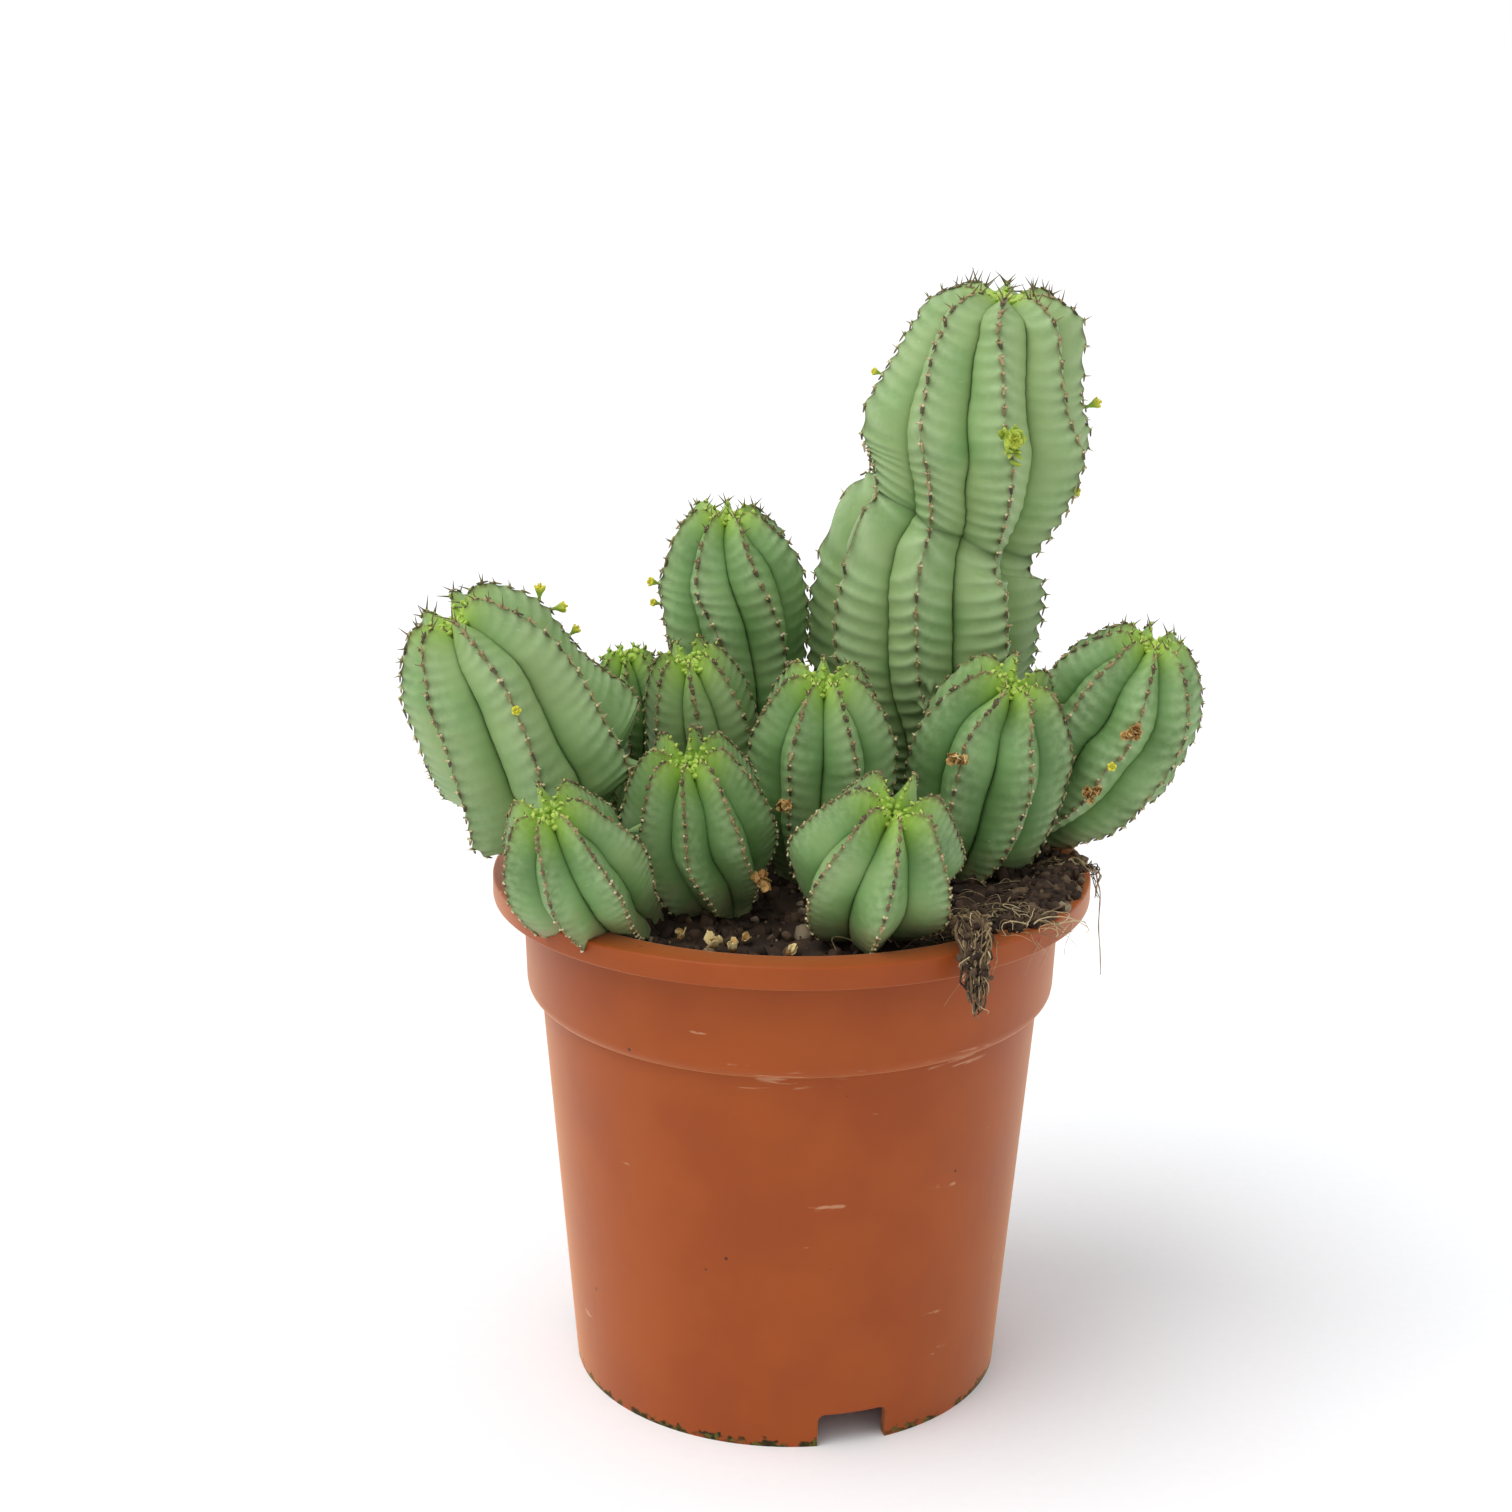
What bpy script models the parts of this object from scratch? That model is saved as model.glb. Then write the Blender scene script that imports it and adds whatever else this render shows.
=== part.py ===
"""Potted euphorbia: a clump of ribbed, spiny stems in a 17 cm plastic nursery pot.

The pot stands on z = 0 with its axis on x = y = 0, and the front of the plant faces -Y.
Lengths are written in millimetres and turned to metres by MM.
"""

import math
from collections import namedtuple

import bmesh
import bpy
from mathutils import Vector, noise

MM = 0.001
GAP = 0.3 * MM  # left between pieces that touch
ROOM = 0.6 * MM  # the room that a stem takes from what it grows in or leans on

# Pot
RIM_RADIUS = 85 * MM
RIM_TOP = 150.4 * MM
RIM_BAND = 6.4 * MM
COLLAR_TOP_RADIUS = 76.7 * MM
COLLAR_FOOT_RADIUS = 75.5 * MM
STEP_HEIGHT = 114.8 * MM
STEP_RADIUS = 71.5 * MM
BASE_RADIUS = 62.3 * MM
POT_WALL = 1.6 * MM
FLOOR_UNDERSIDE = 8.4 * MM
FLOOR_TOP = 10 * MM
FOOT_WIDTH = 3.2 * MM
CENTRE_FOOT_RADIUS = 12 * MM  # the boss that carries the middle of the floor
STEP_ROUND = 4 * MM
RIM_EDGE_ROUND = 1.2 * MM
RIM_THICKNESS = 1.5 * MM
POT_STEPS = 48
NOTCH_WIDTH = 20 * MM
NOTCH_HEIGHT = 10 * MM
NOTCH_DEPTH = 9 * MM
NOTCH_ROUND = 2 * MM
NOTCH_ANGLES = (-73, 47, 167)  # degrees round the pot from +X, one of them near the front

# Soil
SOIL_TOP = 145.5 * MM
SOIL_MOUND = 3.5 * MM  # how far the soil rises to the right-hand side of the rim
SOIL_ROUGHNESS = 1.6 * MM
COARSE_LUMP, FINE_LUMP = 9 * MM, 4 * MM
SOIL_EDGE = 1 * MM  # the ring by the pot's wall where the soil's surface ends
SOIL_RINGS = (1, 0.85, 0.65, 0.42, 0.2)  # shares of the surface's radius
SOIL_STEPS = 24
NECK_DEPTH = 12 * MM  # how far a stem's neck goes down into the soil

# Stems
NECK_SHARE = 0.06  # the share of a stem's length over which its foot narrows
TAP_LENGTH = 2 * MM  # the point below the root that a stem's foot ends in, its lowest
CROWN_POWER = 2.4  # the larger, the squarer the shoulder of the crown
RING_CROWDING = 0.09  # how much closer the rings stand at the foot and the crown
RINGS, TALL_RINGS, TALL_STEM_HEIGHT = 14, 22, 120
SLOPE_STEP = 0.01  # the share of the length over which the axis' direction is measured

# A station on a stem's axis: its place from the stem's root, the radius over the ribs' crests,
# and the direction of one crest, in degrees from the front towards +X.
Station = namedtuple("Station", "x y z radius turn")
Stem = namedtuple("Stem", "name root ribs groove shoulder lift path")


def stem(name, root, ribs, path, groove=0.6, shoulder=0.78, lift=4):
    """root is in mm; groove is the groove's share of the crest's radius; the crown begins at
    shoulder, a share of the stem's length, and the crests stand lift mm above the sunken tip."""
    stations = [Station(*values) for values in path]
    return Stem(name, Vector(root) * MM, ribs, groove, shoulder, lift * MM, stations)


STEMS = (
    stem(
        "tall_stem", (40, 48, 134), 8, groove=0.62, shoulder=0.955, lift=3.5,
        path=(
            (0, 0, 0, 11, 60), (0, 0, 14, 13, 58), (0, 1, 34, 22, 54), (-1, 2, 52, 29, 47),
            (-1, 2, 68, 34, 41), (0, 2, 86, 34, 37), (2, 2, 100, 32, 34), (7, 1, 111, 28.5, 26),
            (11, 0, 123, 32, 18), (13, 0, 136, 33, 12), (15, -1, 149, 30, 4),
            (17, -1, 162, 25.5, -3), (19, -2, 174, 20, -8),
        ),
    ),
    stem(
        "second_stem", (-14, 47, 134), 7, shoulder=0.84, lift=4.5,
        path=(
            (0, 0, 0, 9, 55), (0, 0, 14, 11, 55), (0, 0, 32, 17, 54), (-3, -1, 71, 21.5, 44),
            (-4, -2, 90, 22, 28), (-6, -4, 102, 19.5, 25), (-6, -5, 108, 16.5, 24),
        ),
    ),
    stem(
        "left_stem", (-52, 6, 134), 7, groove=0.58, shoulder=0.86, lift=5.5,
        path=(
            (0, 0, 0, 9, 8), (-1, -1, 13, 11, 8), (-7, -5, 24.5, 16, 9), (-10, -8, 29, 30, 10),
            (-12, -10, 33, 32.5, 10), (-17, -14, 42, 30, 12), (-26, -20, 63, 27.5, 18),
            (-35, -24, 81.5, 24, 21), (-40, -26, 90, 20, 21),
        ),
    ),
    stem(
        "right_stem", (57, 32, 134), 8, shoulder=0.84, lift=4.5,
        path=(
            (0, 0, 0, 9, -8), (1, 0, 13, 10, -8), (8, -3, 24, 14.5, -7), (18, -8, 33, 20, -6),
            (28, -12, 44, 24.5, -4), (35, -14, 55, 24.5, -3), (40, -17, 66, 22.5, -3),
            (43, -19, 74, 19, -3), (44, -20, 78, 16, -3),
        ),
    ),
    stem(
        "centre_left_stem", (-22, 14, 134), 7, groove=0.58, shoulder=0.76, lift=5.5,
        path=(
            (0, 0, 0, 8, 6), (0, 0, 13, 9, 6), (-2, -3, 38, 16, 6), (-4, -8, 57, 16.5, 4),
            (-7, -14, 74, 14.5, 4),
        ),
    ),
    stem(
        "centre_stem", (6, 2, 134), 7, groove=0.58, shoulder=0.76, lift=5.5,
        path=(
            (0, 0, 0, 8, 26), (0, 0, 13, 10, 26), (1, -5, 30, 18, 26), (2, -9, 54, 21, 26),
            (2, -14, 71, 17, 25),
        ),
    ),
    stem(
        "centre_right_stem", (48, 6, 134), 7, groove=0.58, shoulder=0.76, lift=5.5,
        path=(
            (0, 0, 0, 9, 14), (0, 0, 13, 11, 14), (4, -3, 27, 20, 18), (7, -6, 48, 23.5, 25),
            (10, -9, 63, 21, 23), (12, -12, 70, 17, 22),
        ),
    ),
    stem(
        "front_centre_stem", (-20, -23, 134), 8, groove=0.58, shoulder=0.7, lift=6,
        path=(
            (0, 0, 0, 8, 8), (0, 0, 13, 11, 8), (-3, -4, 24, 18, 5), (-6, -10, 39, 21, -5),
            (-8, -18, 56, 17.5, -5),
        ),
    ),
    stem(
        "front_left_stem", (-44, -37, 134), 7, groove=0.58, shoulder=0.7, lift=6,
        path=(
            (0, 0, 0, 8, -4), (-1, -2, 12, 10, -4), (-9, -14, 23, 17.5, -6),
            (-15, -22, 36, 19.5, -9), (-19, -29, 49, 15.5, -9),
        ),
    ),
    stem(
        "front_right_stem", (20, -42, 134), 7, groove=0.58, shoulder=0.68, lift=6,
        path=(
            (0, 0, 0, 9, 0), (0, -1, 12, 11, 0), (0, -7, 23.5, 20, 0), (2, -14, 35, 24, 0),
            (5, -22, 50, 18, 2),
        ),
    ),
    stem(
        "small_back_stem", (-44, 30, 134), 7, shoulder=0.78, lift=3.5,
        path=(
            (0, 0, 0, 7, 0), (0, 0, 13, 8, 0), (-2, -3, 33, 11, 0), (-3, -4, 57, 12.5, 0),
            (-4, -5, 70, 10, 0),
        ),
    ),
    stem(
        "rear_left_stem", (-46, 48, 134), 7, shoulder=0.7, lift=3,
        path=((0, 0, 0, 6, 20), (0, 0, 12, 8, 20), (-6, 5, 27, 13, 20), (-11, 10, 42, 10.5, 20)),
    ),
    stem(
        "rear_centre_stem", (11, 62, 134), 7, shoulder=0.7, lift=3,
        path=((0, 0, 0, 5, 0), (0, 0, 12, 7, 0), (-1, 4, 25, 10.5, 0), (-2, 8, 39, 8.5, 0)),
    ),
)

# Stems that lean on a neighbour in front are pressed in where they touch it.
PRESSED = {
    "tall_stem": ("centre_right_stem", "right_stem", "second_stem"),
    "right_stem": ("centre_right_stem",),
    "second_stem": ("centre_left_stem",),
    "left_stem": ("front_left_stem", "front_centre_stem", "centre_left_stem"),
    "centre_left_stem": ("front_centre_stem", "centre_stem"),
    "centre_stem": ("front_centre_stem", "front_right_stem"),
    "centre_right_stem": ("front_right_stem", "centre_stem"),
    "front_centre_stem": ("front_left_stem", "front_right_stem"),
    "small_back_stem": ("left_stem", "centre_left_stem", "second_stem"),
    "rear_left_stem": ("small_back_stem", "left_stem", "second_stem"),
    "rear_centre_stem": ("second_stem", "tall_stem"),
}

# A flower or a dried flower grows on a crest: its stem, the rib counted round to the right from
# the one that `turn` gives, the share of the stem's length, and its size in mm.
Growth = namedtuple("Growth", "stem rib share size")
FRESH_FLOWERS = (
    Growth("tall_stem", 2, 0.84, 2.6), Growth("tall_stem", 2, 0.7, 2.6),
    Growth("tall_stem", 2, 0.645, 2.4), Growth("tall_stem", 0, 0.8, 3.6),
    Growth("tall_stem", 6, 0.84, 1.8), Growth("second_stem", 5, 0.86, 2.2),
    Growth("second_stem", 5, 0.78, 1.8), Growth("left_stem", 2, 0.92, 2.6),
    Growth("left_stem", 2, 0.85, 2.6), Growth("left_stem", 2, 0.79, 2.2),
    Growth("left_stem", 0, 0.8, 2), Growth("right_stem", 0, 0.7, 2),
)
DRIED_FLOWERS = (
    Growth("centre_stem", 6, 0.6, 3), Growth("centre_right_stem", 6, 0.78, 3),
    Growth("right_stem", 0, 0.84, 3), Growth("right_stem", 0, 0.6, 3),
    Growth("front_centre_stem", 1, 0.5, 3.4), Growth("front_left_stem", 5, 0.4, 2.6),
)

COLLECTION = "potted_euphorbia"
CUTTERS = "cutters"

MATERIALS = {  # base colour (linear), roughness
    "terracotta_plastic": ((0.37, 0.1, 0.035), 0.42),
    "dark_soil": ((0.035, 0.02, 0.012), 0.95),
    "euphorbia_skin": ((0.16, 0.3, 0.13), 0.55),
    "flower_yellow": ((0.55, 0.56, 0.06), 0.6),
    "dried_flower": ((0.42, 0.27, 0.12), 0.85),
    "root_fibre": ((0.17, 0.12, 0.075), 0.9),
}


def clear_scene():
    for item in list(bpy.data.objects):
        bpy.data.objects.remove(item, do_unlink=True)


def collection(name):
    made = bpy.data.collections.new(name)
    bpy.context.scene.collection.children.link(made)
    return made


def material(name):
    made = bpy.data.materials.get(name)
    if made is None:
        made = bpy.data.materials.new(name)
        made.use_nodes = True
        shader = made.node_tree.nodes["Principled BSDF"]
        colour, roughness = MATERIALS[name]
        shader.inputs["Base Color"].default_value = (*colour, 1)
        shader.inputs["Roughness"].default_value = roughness
        shader.inputs["Metallic"].default_value = 0
    return made


def add_object(name, mesh, group, slot=None, location=(0, 0, 0)):
    made = bpy.data.objects.new(name, mesh)
    made.location = location
    group.objects.link(made)
    if slot:
        mesh.materials.append(material(slot))
    else:
        made.hide_render = True
        made.display_type = "WIRE"
    return made


def mesh_from(name, shape):
    mesh = bpy.data.meshes.new(name)
    shape.to_mesh(mesh)
    shape.free()
    return mesh


def cut(target, cutter):
    modifier = target.modifiers.new("cut_" + cutter.name, "BOOLEAN")
    modifier.object = cutter
    modifier.operation = "DIFFERENCE"


def turned(name, profile, group, slot, steps=POT_STEPS):
    """A body of revolution about Z. The profile's points are (radius, height)."""
    shape = bmesh.new()
    points = [shape.verts.new((radius, 0, height)) for radius, height in profile]
    for start, end in zip(points, points[1:]):
        shape.edges.new((start, end))
    made = add_object(name, mesh_from(name, shape), group, slot)
    screw = made.modifiers.new("turn", "SCREW")
    screw.steps = steps
    screw.render_steps = steps
    screw.use_merge_vertices = True
    screw.merge_threshold = 0.00005
    screw.use_smooth_shade = True
    return made


def arc(centre, radius, start, end, count):
    """Points on a round stretch of a profile, between two angles in degrees."""
    angles = [math.radians(start + (end - start) * i / count) for i in range(count + 1)]
    return [(centre[0] + radius * math.cos(a), centre[1] + radius * math.sin(a)) for a in angles]


def pot_outside():
    """The outer side from the rim's edge down to the foot, with the open channel under the rim."""
    edge, lip = RIM_EDGE_ROUND, RIM_RADIUS - RIM_THICKNESS
    rim = arc((RIM_RADIUS - edge, RIM_TOP - edge), edge, 90, 0, 3)
    rim += [(RIM_RADIUS, RIM_TOP - RIM_BAND), (lip, RIM_TOP - RIM_BAND)]
    rim += [(lip, RIM_TOP - RIM_THICKNESS), (COLLAR_TOP_RADIUS, RIM_TOP - RIM_THICKNESS)]
    collar = [(COLLAR_FOOT_RADIUS, STEP_HEIGHT + STEP_ROUND)]
    collar += arc((STEP_RADIUS, STEP_HEIGHT + STEP_ROUND), STEP_ROUND, -20, -90, 3)
    foot = arc((BASE_RADIUS - edge, edge), edge, 0, -90, 2)
    return rim + collar + foot


def pot_inside(inset):
    """The inner side from the floor up to the rim, moved in by inset."""
    wall = POT_WALL + inset
    floor_radius = BASE_RADIUS + (STEP_RADIUS - BASE_RADIUS) * FLOOR_TOP / STEP_HEIGHT
    return [
        (0, FLOOR_TOP + inset),
        (floor_radius - wall, FLOOR_TOP + inset),
        (STEP_RADIUS - wall, STEP_HEIGHT + inset),
        (COLLAR_FOOT_RADIUS - wall, STEP_HEIGHT + STEP_ROUND),
        (COLLAR_TOP_RADIUS - wall + ROOM, RIM_TOP),
    ]


def pot_underside():
    """From the foot ring's inner edge to the floor, and down to the boss at the centre."""
    ring = BASE_RADIUS - FOOT_WIDTH
    return [
        (ring, 0),
        (ring + ROOM, FLOOR_UNDERSIDE),
        (CENTRE_FOOT_RADIUS, FLOOR_UNDERSIDE),
        (CENTRE_FOOT_RADIUS - ROOM, 0),
        (0, 0),
    ]


def make_notch_cutter(number, angle, cutters):
    shape = bmesh.new()
    bmesh.ops.create_cube(shape, size=1)
    size = (2 * NOTCH_DEPTH, NOTCH_WIDTH, 2 * NOTCH_HEIGHT)
    bmesh.ops.scale(shape, vec=size, verts=shape.verts)
    direction = math.radians(angle)
    place = (BASE_RADIUS * math.cos(direction), BASE_RADIUS * math.sin(direction), 0)
    notch = add_object(f"drain_notch_{number}", mesh_from("drain_notch", shape), cutters, location=place)
    notch.rotation_euler.z = direction
    rounding = notch.modifiers.new("round_corners", "BEVEL")
    rounding.width = NOTCH_ROUND
    rounding.segments = 2
    return notch


def make_pot(group, cutters):
    profile = pot_inside(0) + pot_outside() + pot_underside()
    pot = turned("nursery_pot", profile, group, "terracotta_plastic")
    for number, angle in enumerate(NOTCH_ANGLES, 1):
        cut(pot, make_notch_cutter(number, angle, cutters))


def soil_height(x, y):
    """The soil's surface: lumpy, and heaped towards the right-hand side of the pot."""
    place = Vector((x, y, 0))
    lumps = noise.noise(place / COARSE_LUMP) + 0.5 * noise.noise(place / FINE_LUMP)
    heap = max(0, x / RIM_RADIUS) ** 2 * max(0, math.cos(math.atan2(y, x))) ** 4
    return SOIL_TOP + SOIL_ROUGHNESS * lumps + SOIL_MOUND * heap


def make_soil(group):
    side = pot_inside(GAP)
    top_radius = side[-1][0] - SOIL_EDGE
    profile = [(0, SOIL_TOP)] + [(top_radius * share, SOIL_TOP) for share in reversed(SOIL_RINGS)]
    profile += list(reversed(side[:-1]))
    soil = turned("potting_soil", profile, group, "dark_soil", SOIL_STEPS)
    seen = soil.evaluated_get(bpy.context.evaluated_depsgraph_get())
    lumpy = bpy.data.meshes.new_from_object(seen)
    for vertex in lumpy.vertices:
        if vertex.co.z > SOIL_TOP - GAP:
            vertex.co.z = soil_height(vertex.co.x, vertex.co.y)
    soil.modifiers.clear()
    soil.data = lumpy
    return soil


def smooth_value(stations, field, share):
    """A Catmull-Rom curve through one field of the stations, at a share of the stem's length."""
    heights = [0.0]
    for start, end in zip(stations, stations[1:]):
        heights.append(heights[-1] + math.dist(start[:3], end[:3]))
    along = min(max(share, 0), 1) * heights[-1]
    index = max(i for i in range(len(stations) - 1) if heights[i] <= along)
    last = len(stations) - 1
    around = [min(max(i, 0), last) for i in range(index - 1, index + 3)]
    near = [getattr(stations[i], field) for i in around]
    t = (along - heights[index]) / (heights[index + 1] - heights[index])
    return 0.5 * (
        2 * near[1]
        + (near[2] - near[0]) * t
        + (2 * near[0] - 5 * near[1] + 4 * near[2] - near[3]) * t**2
        + (3 * near[1] - near[0] - 3 * near[2] + near[3]) * t**3
    )


def axis_point(plant, share):
    return Vector([smooth_value(plant.path, field, share) for field in "xyz"]) * MM


def stem_point(plant, share, angle, crest):
    """A point on a stem's skin and the way out from the axis there. Angle is in degrees round from
    the crest at `turn`, and crest is 1 on a rib's crest and 0 in a groove."""
    ahead = axis_point(plant, min(share + SLOPE_STEP, 1))
    along = (ahead - axis_point(plant, max(share - SLOPE_STEP, 0))).normalized()
    side = (Vector((1, 0, 0)) - along * along.x).normalized()
    away = along.cross(side)
    crown = min(max((share - plant.shoulder) / (1 - plant.shoulder), 0), 1)
    neck = min(max(1 - share / NECK_SHARE, 0), 1)
    roundness = math.sqrt(max(1 - crown**CROWN_POWER, 0)) * math.sqrt(1 - 0.6 * neck**4)
    groove = plant.groove + (1 - plant.groove) * 0.6 * neck
    radius = smooth_value(plant.path, "radius", share) * MM * roundness
    radius = radius * (groove + (1 - groove) * crest)
    lift = plant.lift * math.sin(math.pi * roundness) * crest if crown > 0 else 0
    turn = math.radians(smooth_value(plant.path, "turn", share) - 90 + angle)
    outward = side * math.cos(turn) + away * math.sin(turn)
    return axis_point(plant, share) + outward * radius + along * lift, outward


def stem_mesh(plant, swell=0):
    """A sphere with two segments to a rib, whose rings are drawn out along the stem's axis."""
    rings = TALL_RINGS if plant.path[-1].z > TALL_STEM_HEIGHT else RINGS
    shape = bmesh.new()
    bmesh.ops.create_uvsphere(shape, u_segments=2 * plant.ribs, v_segments=rings, radius=1)
    for vertex in shape.verts:
        ring = round(math.acos(max(min(-vertex.co.z, 1), -1)) / math.pi * rings)
        segment = round(math.atan2(vertex.co.y, vertex.co.x) / math.pi * plant.ribs) % (2 * plant.ribs)
        share = ring / rings
        share -= RING_CROWDING * math.sin(2 * math.pi * share)
        if ring == 0:
            vertex.co = (0, 0, -TAP_LENGTH)
        elif ring == rings:
            vertex.co = axis_point(plant, 1)
        else:
            vertex.co = stem_point(plant, share, segment * 180 / plant.ribs, 1 - segment % 2)[0]
    bmesh.ops.triangulate(shape, faces=shape.faces, quad_method="FIXED")
    shape.normal_update()
    for vertex in shape.verts:
        vertex.co += vertex.normal * swell
    return mesh_from(plant.name, shape)


def room_mesh(plant):
    """The smooth hull that a stem keeps for itself where a neighbour leans on it."""
    shape = bmesh.new()
    skin = stem_mesh(plant, ROOM)
    corners = [shape.verts.new(vertex.co) for vertex in skin.vertices]
    hull = bmesh.ops.convex_hull(shape, input=corners)
    spare = list({*hull["geom_interior"], *hull["geom_unused"]})
    bmesh.ops.delete(shape, geom=spare, context="VERTS")
    bmesh.ops.recalc_face_normals(shape, faces=shape.faces)
    return mesh_from(plant.name + "_room", shape)


def foot_mesh(plant):
    """The flared room that a stem's foot takes in the soil."""
    depth = NECK_DEPTH + 3 * SOIL_ROUGHNESS
    skin = [vertex.co for vertex in stem_mesh(plant).vertices]
    low, high = [max(co.xy.length for co in skin if co.z < top) for top in (NECK_DEPTH / 3, depth)]
    shape = bmesh.new()
    bmesh.ops.create_cone(
        shape, cap_ends=True, segments=16, radius1=low + ROOM, radius2=high + 2 * ROOM, depth=depth
    )
    lowest = min(co.z for co in skin) - ROOM
    bmesh.ops.translate(shape, vec=(0, 0, depth / 2 + lowest), verts=shape.verts)
    return mesh_from(plant.name + "_foot", shape)


def make_rim_room(cutters):
    """A ring a little larger than the pot's rim, for the stems that lie on it."""
    inside = COLLAR_TOP_RADIUS - POT_WALL - GAP
    outside = RIM_RADIUS + GAP
    top, foot = RIM_TOP + GAP, RIM_TOP - 4 * RIM_BAND
    corners = [(inside, top), (outside, top), (outside, foot), (inside, foot), (inside, top)]
    return turned("rim_room", corners, cutters, None)


def make_stems(group, cutters, soil):
    bodies, rooms = {}, {}
    rim = make_rim_room(cutters)
    for plant in STEMS:
        body = add_object(plant.name, stem_mesh(plant), group, "euphorbia_skin", plant.root)
        body.data.shade_smooth()
        cut(body, rim)
        bodies[plant.name] = body
        room = add_object(plant.name + "_room", room_mesh(plant), cutters, location=plant.root)
        rooms[plant.name] = room
        foot = add_object(plant.name + "_foot", foot_mesh(plant), cutters, location=plant.root)
        cut(soil, foot)
    for name, neighbours in PRESSED.items():
        for neighbour in neighbours:
            cut(bodies[name], rooms[neighbour])


def growth_place(growth):
    """Where a flower's foot meets the crest that it grows on, and the way it points."""
    plant = next(item for item in STEMS if item.name == growth.stem)
    point, outward = stem_point(plant, growth.share, growth.rib * 360 / plant.ribs, 1)
    return plant.root + point + outward * 2 * GAP, (outward + Vector((0, 0, 0.4))).normalized()


def make_growth(name, growth, group, slot, outline):
    """A flower as a small turned body: outline holds (radius, height) in shares of its size."""
    size = growth.size * MM
    last = len(outline) + 1
    shape = bmesh.new()
    bmesh.ops.create_uvsphere(shape, u_segments=FLOWER_SIDES, v_segments=last, radius=1)
    for vertex in shape.verts:
        ring = round(math.acos(max(min(-vertex.co.z, 1), -1)) / math.pi * last)
        if ring == 0:
            vertex.co = (0, 0, 0)
        elif ring == last:
            vertex.co = (0, 0, outline[-1][1] * size)
        else:
            radius, height = outline[ring - 1]
            sideways = vertex.co.xy.normalized() * radius * size
            vertex.co = (*sideways, height * size)
    place, direction = growth_place(growth)
    made = add_object(name, mesh_from(name, shape), group, slot, place)
    made.rotation_euler = direction.to_track_quat("Z", "Y").to_euler()
    made.data.shade_smooth()


FLOWER_SIDES = 8
FRESH_OUTLINE = ((0.2, 0.02), (0.22, 0.6), (0.55, 1.0), (0.5, 1.5), (0.2, 1.55))
DRIED_OUTLINE = ((0.25, 0.02), (0.6, 0.4), (0.75, 0.8), (0.45, 1.2), (0.2, 1.3))

# Roots outside the soil: points in mm, with the root's radius there. Each lies over the rim.
ROOTS = {
    "root_clump": (
        (44, -57, 150.5, 2), (45.5, -62, 155, 3.4), (46, -67.5, 156.4, 4.4), (46.5, -72, 156, 4.4),
        (46.5, -76.5, 153, 3.6), (46.5, -79.5, 148, 3.2), (46.8, -80, 142, 2.4), (46.9, -80, 136, 1.2),
    ),
    "root_tangle": (
        (54, -44, 149.5, 2), (58, -47, 153, 3.2), (62, -51, 154.5, 3.4), (65.5, -54, 154, 2.8),
        (68, -56, 153, 1.6),
    ),
    "side_root": (
        (68, -4, 151, 0.9), (73, -4, 153, 0.8), (79, -3.5, 152.6, 0.7), (84.5, -3, 151.8, 0.6),
        (87, -2.5, 149, 0.5), (88.2, -2, 142, 0.45), (88.8, -1.5, 130, 0.4), (89.8, -1, 116, 0.3),
    ),
}


def make_root(name, points, group):
    curve = bpy.data.curves.new(name, "CURVE")
    curve.dimensions = "3D"
    curve.bevel_depth = MM
    curve.bevel_resolution = 1
    curve.use_fill_caps = True
    line = curve.splines.new("POLY")
    line.points.add(len(points) - 1)
    for point, (x, y, z, radius) in zip(line.points, points):
        point.co = (x * MM, y * MM, z * MM, 1)
        point.radius = radius
    add_object(name, curve, group, "root_fibre")


def main():
    clear_scene()
    group = collection(COLLECTION)
    cutters = collection(CUTTERS)
    make_pot(group, cutters)
    soil = make_soil(group)
    make_stems(group, cutters, soil)
    for number, growth in enumerate(FRESH_FLOWERS, 1):
        make_growth(f"flower_{number:02d}", growth, group, "flower_yellow", FRESH_OUTLINE)
    for number, growth in enumerate(DRIED_FLOWERS, 1):
        make_growth(f"dried_flower_{number:02d}", growth, group, "dried_flower", DRIED_OUTLINE)
    for name, points in ROOTS.items():
        make_root(name, points, group)


main()
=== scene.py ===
"""Potted euphorbia: the looks of a clump of ribbed, spiny stems in a plastic nursery pot."""

import math
import random
from collections import namedtuple

import bmesh
import bpy
import numpy as np
from bpy.props import FloatProperty, IntProperty, PointerProperty, StringProperty
from mathutils import Euler, Matrix, Vector, noise
from mathutils.bvhtree import BVHTree


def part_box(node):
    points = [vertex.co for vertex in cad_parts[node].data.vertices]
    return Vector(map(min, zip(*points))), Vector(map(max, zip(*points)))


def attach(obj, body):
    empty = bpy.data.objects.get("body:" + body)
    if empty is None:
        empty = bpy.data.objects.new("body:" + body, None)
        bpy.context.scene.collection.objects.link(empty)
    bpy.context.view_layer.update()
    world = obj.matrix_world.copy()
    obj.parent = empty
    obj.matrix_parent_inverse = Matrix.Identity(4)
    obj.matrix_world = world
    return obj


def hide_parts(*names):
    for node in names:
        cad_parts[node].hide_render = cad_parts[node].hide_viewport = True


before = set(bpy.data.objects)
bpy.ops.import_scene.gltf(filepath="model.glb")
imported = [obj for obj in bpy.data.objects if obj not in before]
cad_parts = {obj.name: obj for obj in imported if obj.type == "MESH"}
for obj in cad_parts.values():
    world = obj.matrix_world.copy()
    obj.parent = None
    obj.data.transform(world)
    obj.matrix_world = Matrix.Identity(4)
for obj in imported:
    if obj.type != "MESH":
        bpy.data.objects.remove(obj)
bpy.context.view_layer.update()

bl_info = {
    "name": "Potted euphorbia",
    "version": (1, 0, 0),
    "blender": (4, 5, 0),
    "location": "3D View > Sidebar > Euphorbia",
    "description": "Grows a clump of ribbed euphorbia stems in a nursery pot",
    "category": "Add Mesh",
}

MM = 0.001
ROOT = "root"

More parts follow.
